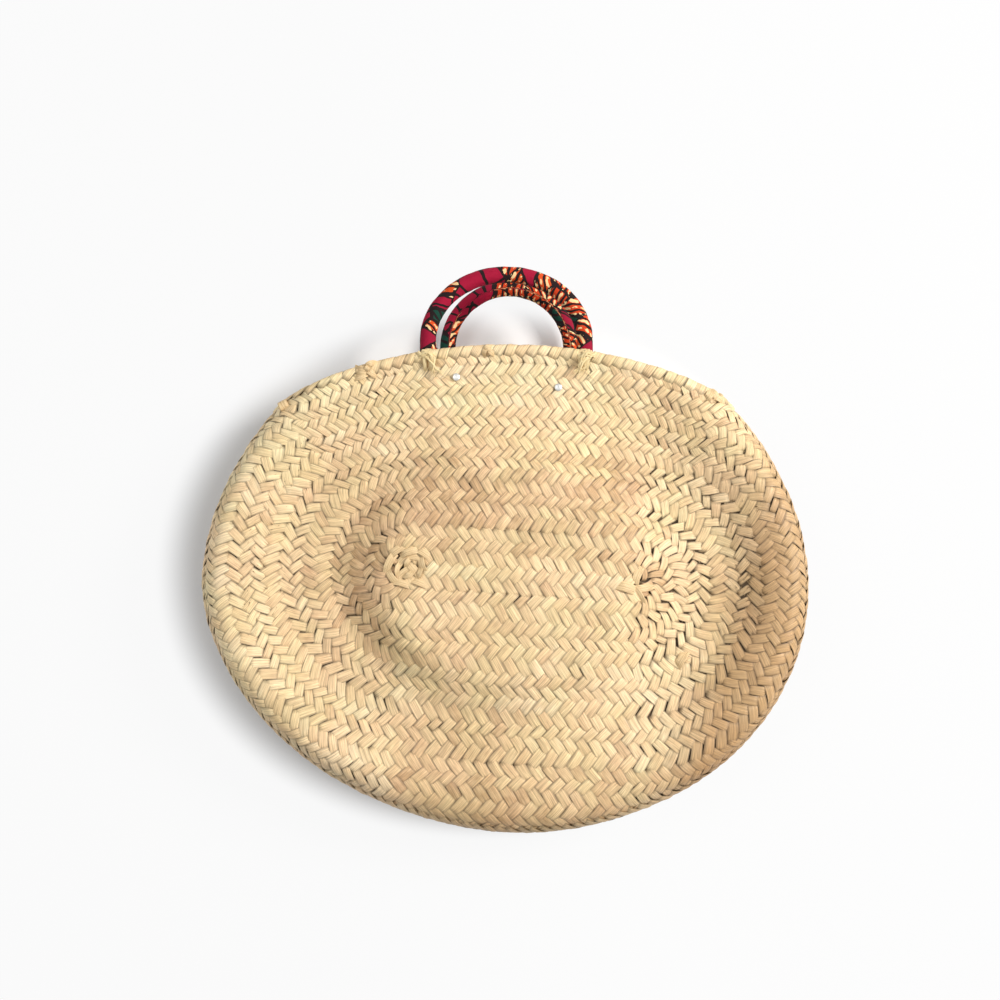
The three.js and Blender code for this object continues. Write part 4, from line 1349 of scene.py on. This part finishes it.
printed_cloth = printed_cloth_material()
for side, middle, half_span, rise, foot, level, seed in HANDLES:
    arch = [(middle + half_span, foot - drop, level) for drop in LEG_DROPS]
    arch += [(middle + half_span * math.cos(angle), foot + rise * math.sin(angle), level)
             for angle in ARCH_ANGLES]
    arch += [(middle - half_span, foot - drop, level) for drop in LEG_DROPS[::-1]]
    sleeve = strands(
        side + "_handle_cloth", [(arch, UP if side == "back" else -UP, 1.0)], printed_cloth,
        Width=SLEEVE_WIDTH, Thickness=SLEEVE_WIDTH, Sides=28, Wrinkle=0.0012, Wrinkle_Size=130.0, Seed=seed)
    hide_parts(side + "_handle_sleeve", side + "_handle_core")
    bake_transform(sleeve)


# Tails: the flattened ends of the cloth sleeves, which lie against the inside of the panels below
# the rim and are held there by a rivet.
def solid_box(name):
    """The low and high corners of a solid, in millimetres."""
    return (np.array(corner) * 1000 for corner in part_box(name))


TAIL_BEND = 17.0
TAIL_PAST_RIVET = 0.35
TAIL_STEPS = np.linspace(0.0, 1.0, 14)
TAIL_BREADTHS = np.interp(TAIL_STEPS, (0, 0.25, 0.85, 1), (0.85, 1.0, 1.0, 0.8))
LEGS = [(side, way) for side in ("front", "back") for way in ("left", "right")]
for side, way in LEGS:
    name = f"{side}_{way}_tail"
    low, high = solid_box(name)
    lash_low, lash_high = solid_box(f"{side}_{way}_lashing")
    rivet_low, rivet_high = solid_box(f"{side}_{way}_rivet")
    leg_x = (lash_low[0] + lash_high[0]) / 2
    rivet = (rivet_low + rivet_high)[:2] / 2
    first = np.array([leg_x, lash_high[1] + 1.0])
    bend = np.array([leg_x, lash_high[1] - TAIL_BEND])
    last = rivet + (rivet - bend) * TAIL_PAST_RIVET
    route = [(1 - t) ** 2 * first + 2 * t * (1 - t) * bend + t * t * last for t in TAIL_STEPS]
    route = [(x, y, (low[2] + high[2]) / 2) for x, y in route]
    tongue = strands(name + "_cloth", [(route, UP, TAIL_BREADTHS)], printed_cloth, Width=0.0128,
                     Thickness=0.0044, Sides=20, Wrinkle=0.0006, Wrinkle_Size=160.0, Seed=81)
    fasten(tongue, "printed_cloth", name)


# Lashings: strands of raffia that tie each leg of the handles to the rim, passed through the weave,
# pulled over the lip, knotted on the outside and cut off with ragged ends.
LASH_SKEWS = (5.5, -5.0, 2.5)
LASH_STEP = 1.7
LASH_TURNS = 1.15
LASH_INSET = 0.4
END_LIFT = (1.0, 3.5)
LOWEST_END = 0.6
BUNDLE_TAPER = ((0.0, 0.7, 1.0), (1.0, 0.9, 0.5))
BUNDLE_FLATNESS = (1.0, 1.0, 0.5)
BUNDLE_TWIST = 0.45
LASH_CREASES = (
    ((-8.0, 5.0, -1.2), (-5.0, 2.4, 0.8), (0.5, 3.4, 1.5), (4.5, 0.5, 0.6)),
    ((-7.0, 1.0, -0.4), (-2.5, 4.4, 1.0), (1.5, 0.5, 1.8), (2.0, -5.0, 0.6)),
    ((-4.0, 5.5, -0.6), (-2.0, 0.0, 1.4), (2.6, -4.5, 1.2), (3.6, -8.5, 0.3)),
    ((0.5, 5.0, 0.2), (3.0, -0.5, 1.6), (3.6, -6.0, 0.8), (8.5, -10.5, 0.1)),
)


def settle_front(points):
    ground = front_skin(points[:, 0], points[:, 1]) + MIDDLE_HEIGHT
    return np.clip(points[:, 2], ground + END_LIFT[0], ground + END_LIFT[1])


def settle_back(points):
    ground = back_skin(points[:, 0], points[:, 1]) + MIDDLE_HEIGHT
    return np.maximum(np.clip(points[:, 2], ground - END_LIFT[1], ground - END_LIFT[0]), LOWEST_END)


def bundle(path, count, spread, seed):
    """Narrow strands that keep close to one path and cross each other on the way."""
    chance = np.random.default_rng(seed)
    run = np.linspace(0.0, 1.0, len(path))
    places = np.linspace(0.0, 1.0, 5)
    paths = []
    for _ in range(count):
        drift = np.stack([np.interp(run, places, chance.normal(0.0, spread, 5)) for _ in range(3)], axis=1)
        facing = UP + chance.normal(0.0, BUNDLE_TWIST, 3)
        paths.append((path + drift * BUNDLE_FLATNESS, facing, np.interp(run, *BUNDLE_TAPER)))
    return paths


for side, way in LEGS:
    name = f"{side}_{way}_lashing"
    sign, settle = (1.0, settle_front) if side == "front" else (-1.0, settle_back)
    inward = 1.0 if way == "left" else -1.0
    low, high = solid_box(name)
    middle = (low + high) / 2
    _, reach_over, reach_out = (high - low) / 2
    out, over = UP * sign, np.array([0.0, 1.0, 0.0])
    reaches = (reach_out - LASH_INSET, reach_over - LASH_INSET)
    coils, knot_strands = [], []
    for turn, skew in enumerate(LASH_SKEWS):
        shift = np.array([(turn - 1) * LASH_STEP, 0.0, 0.0])
        coils.append(loop_path(middle + shift, out, over, reaches, skew, LASH_TURNS, seed=90 + turn))
    face = middle + out * (reach_out + 0.2)
    for crease in LASH_CREASES:
        creased = through([face + np.array([inward * x, y, sign * z]) for x, y, z in crease], 16)
        knot_strands.extend(bundle(creased, count=4, spread=0.9, seed=94 + len(knot_strands)))
    lash = strands(name + "_winding", coils, raffia, Width=0.0030, Thickness=0.0009, Wrinkle=0.0006, Seed=91)
    fasten(lash, "raffia", name)
    knot = middle + out * (reach_out + 0.4) - over * (reach_over * 0.55)
    ends = frayed_ends(knot, (0.6 * inward, -1.0, 0.0),
                       spread=0.35, count=7, length=9.0, seed=92, settle=settle)
    fasten(strands(name + "_ends", ends + knot_strands, raffia,
                   Width=0.0015, Thickness=0.0005, Sides=6, Wrinkle=0.0003, Seed=93), "raffia")


# Rivets and burrs: turned metal rivets with a low domed head on the outside of the panel, set over
# a flat ring inside, which clamp the tails.
METAL_STEPS = ((0.3, (0.52, 0.51, 0.48)), (0.7, (0.72, 0.71, 0.67)))
METAL_GLOSS = (0.0, 1.0, 0.28, 0.5)
SCUFF_SIZE = 900.0
rivet_metal, rivet_tree, rivet_sockets = new_paint("rivet_metal", Metallic=0.75)
scuff = noise(rivet_tree, own_place(rivet_tree), SCUFF_SIZE, 4.0)
feed(rivet_tree, colour_steps(rivet_tree, scuff, METAL_STEPS), rivet_sockets["Base Color"])
feed(rivet_tree, ranged(rivet_tree, scuff, *METAL_GLOSS), rivet_sockets["Roughness"])
for name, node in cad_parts.items():
    if name.endswith(("_rivet", "_burr")):
        node.data.materials.clear()
        node.data.materials.append(rivet_metal)
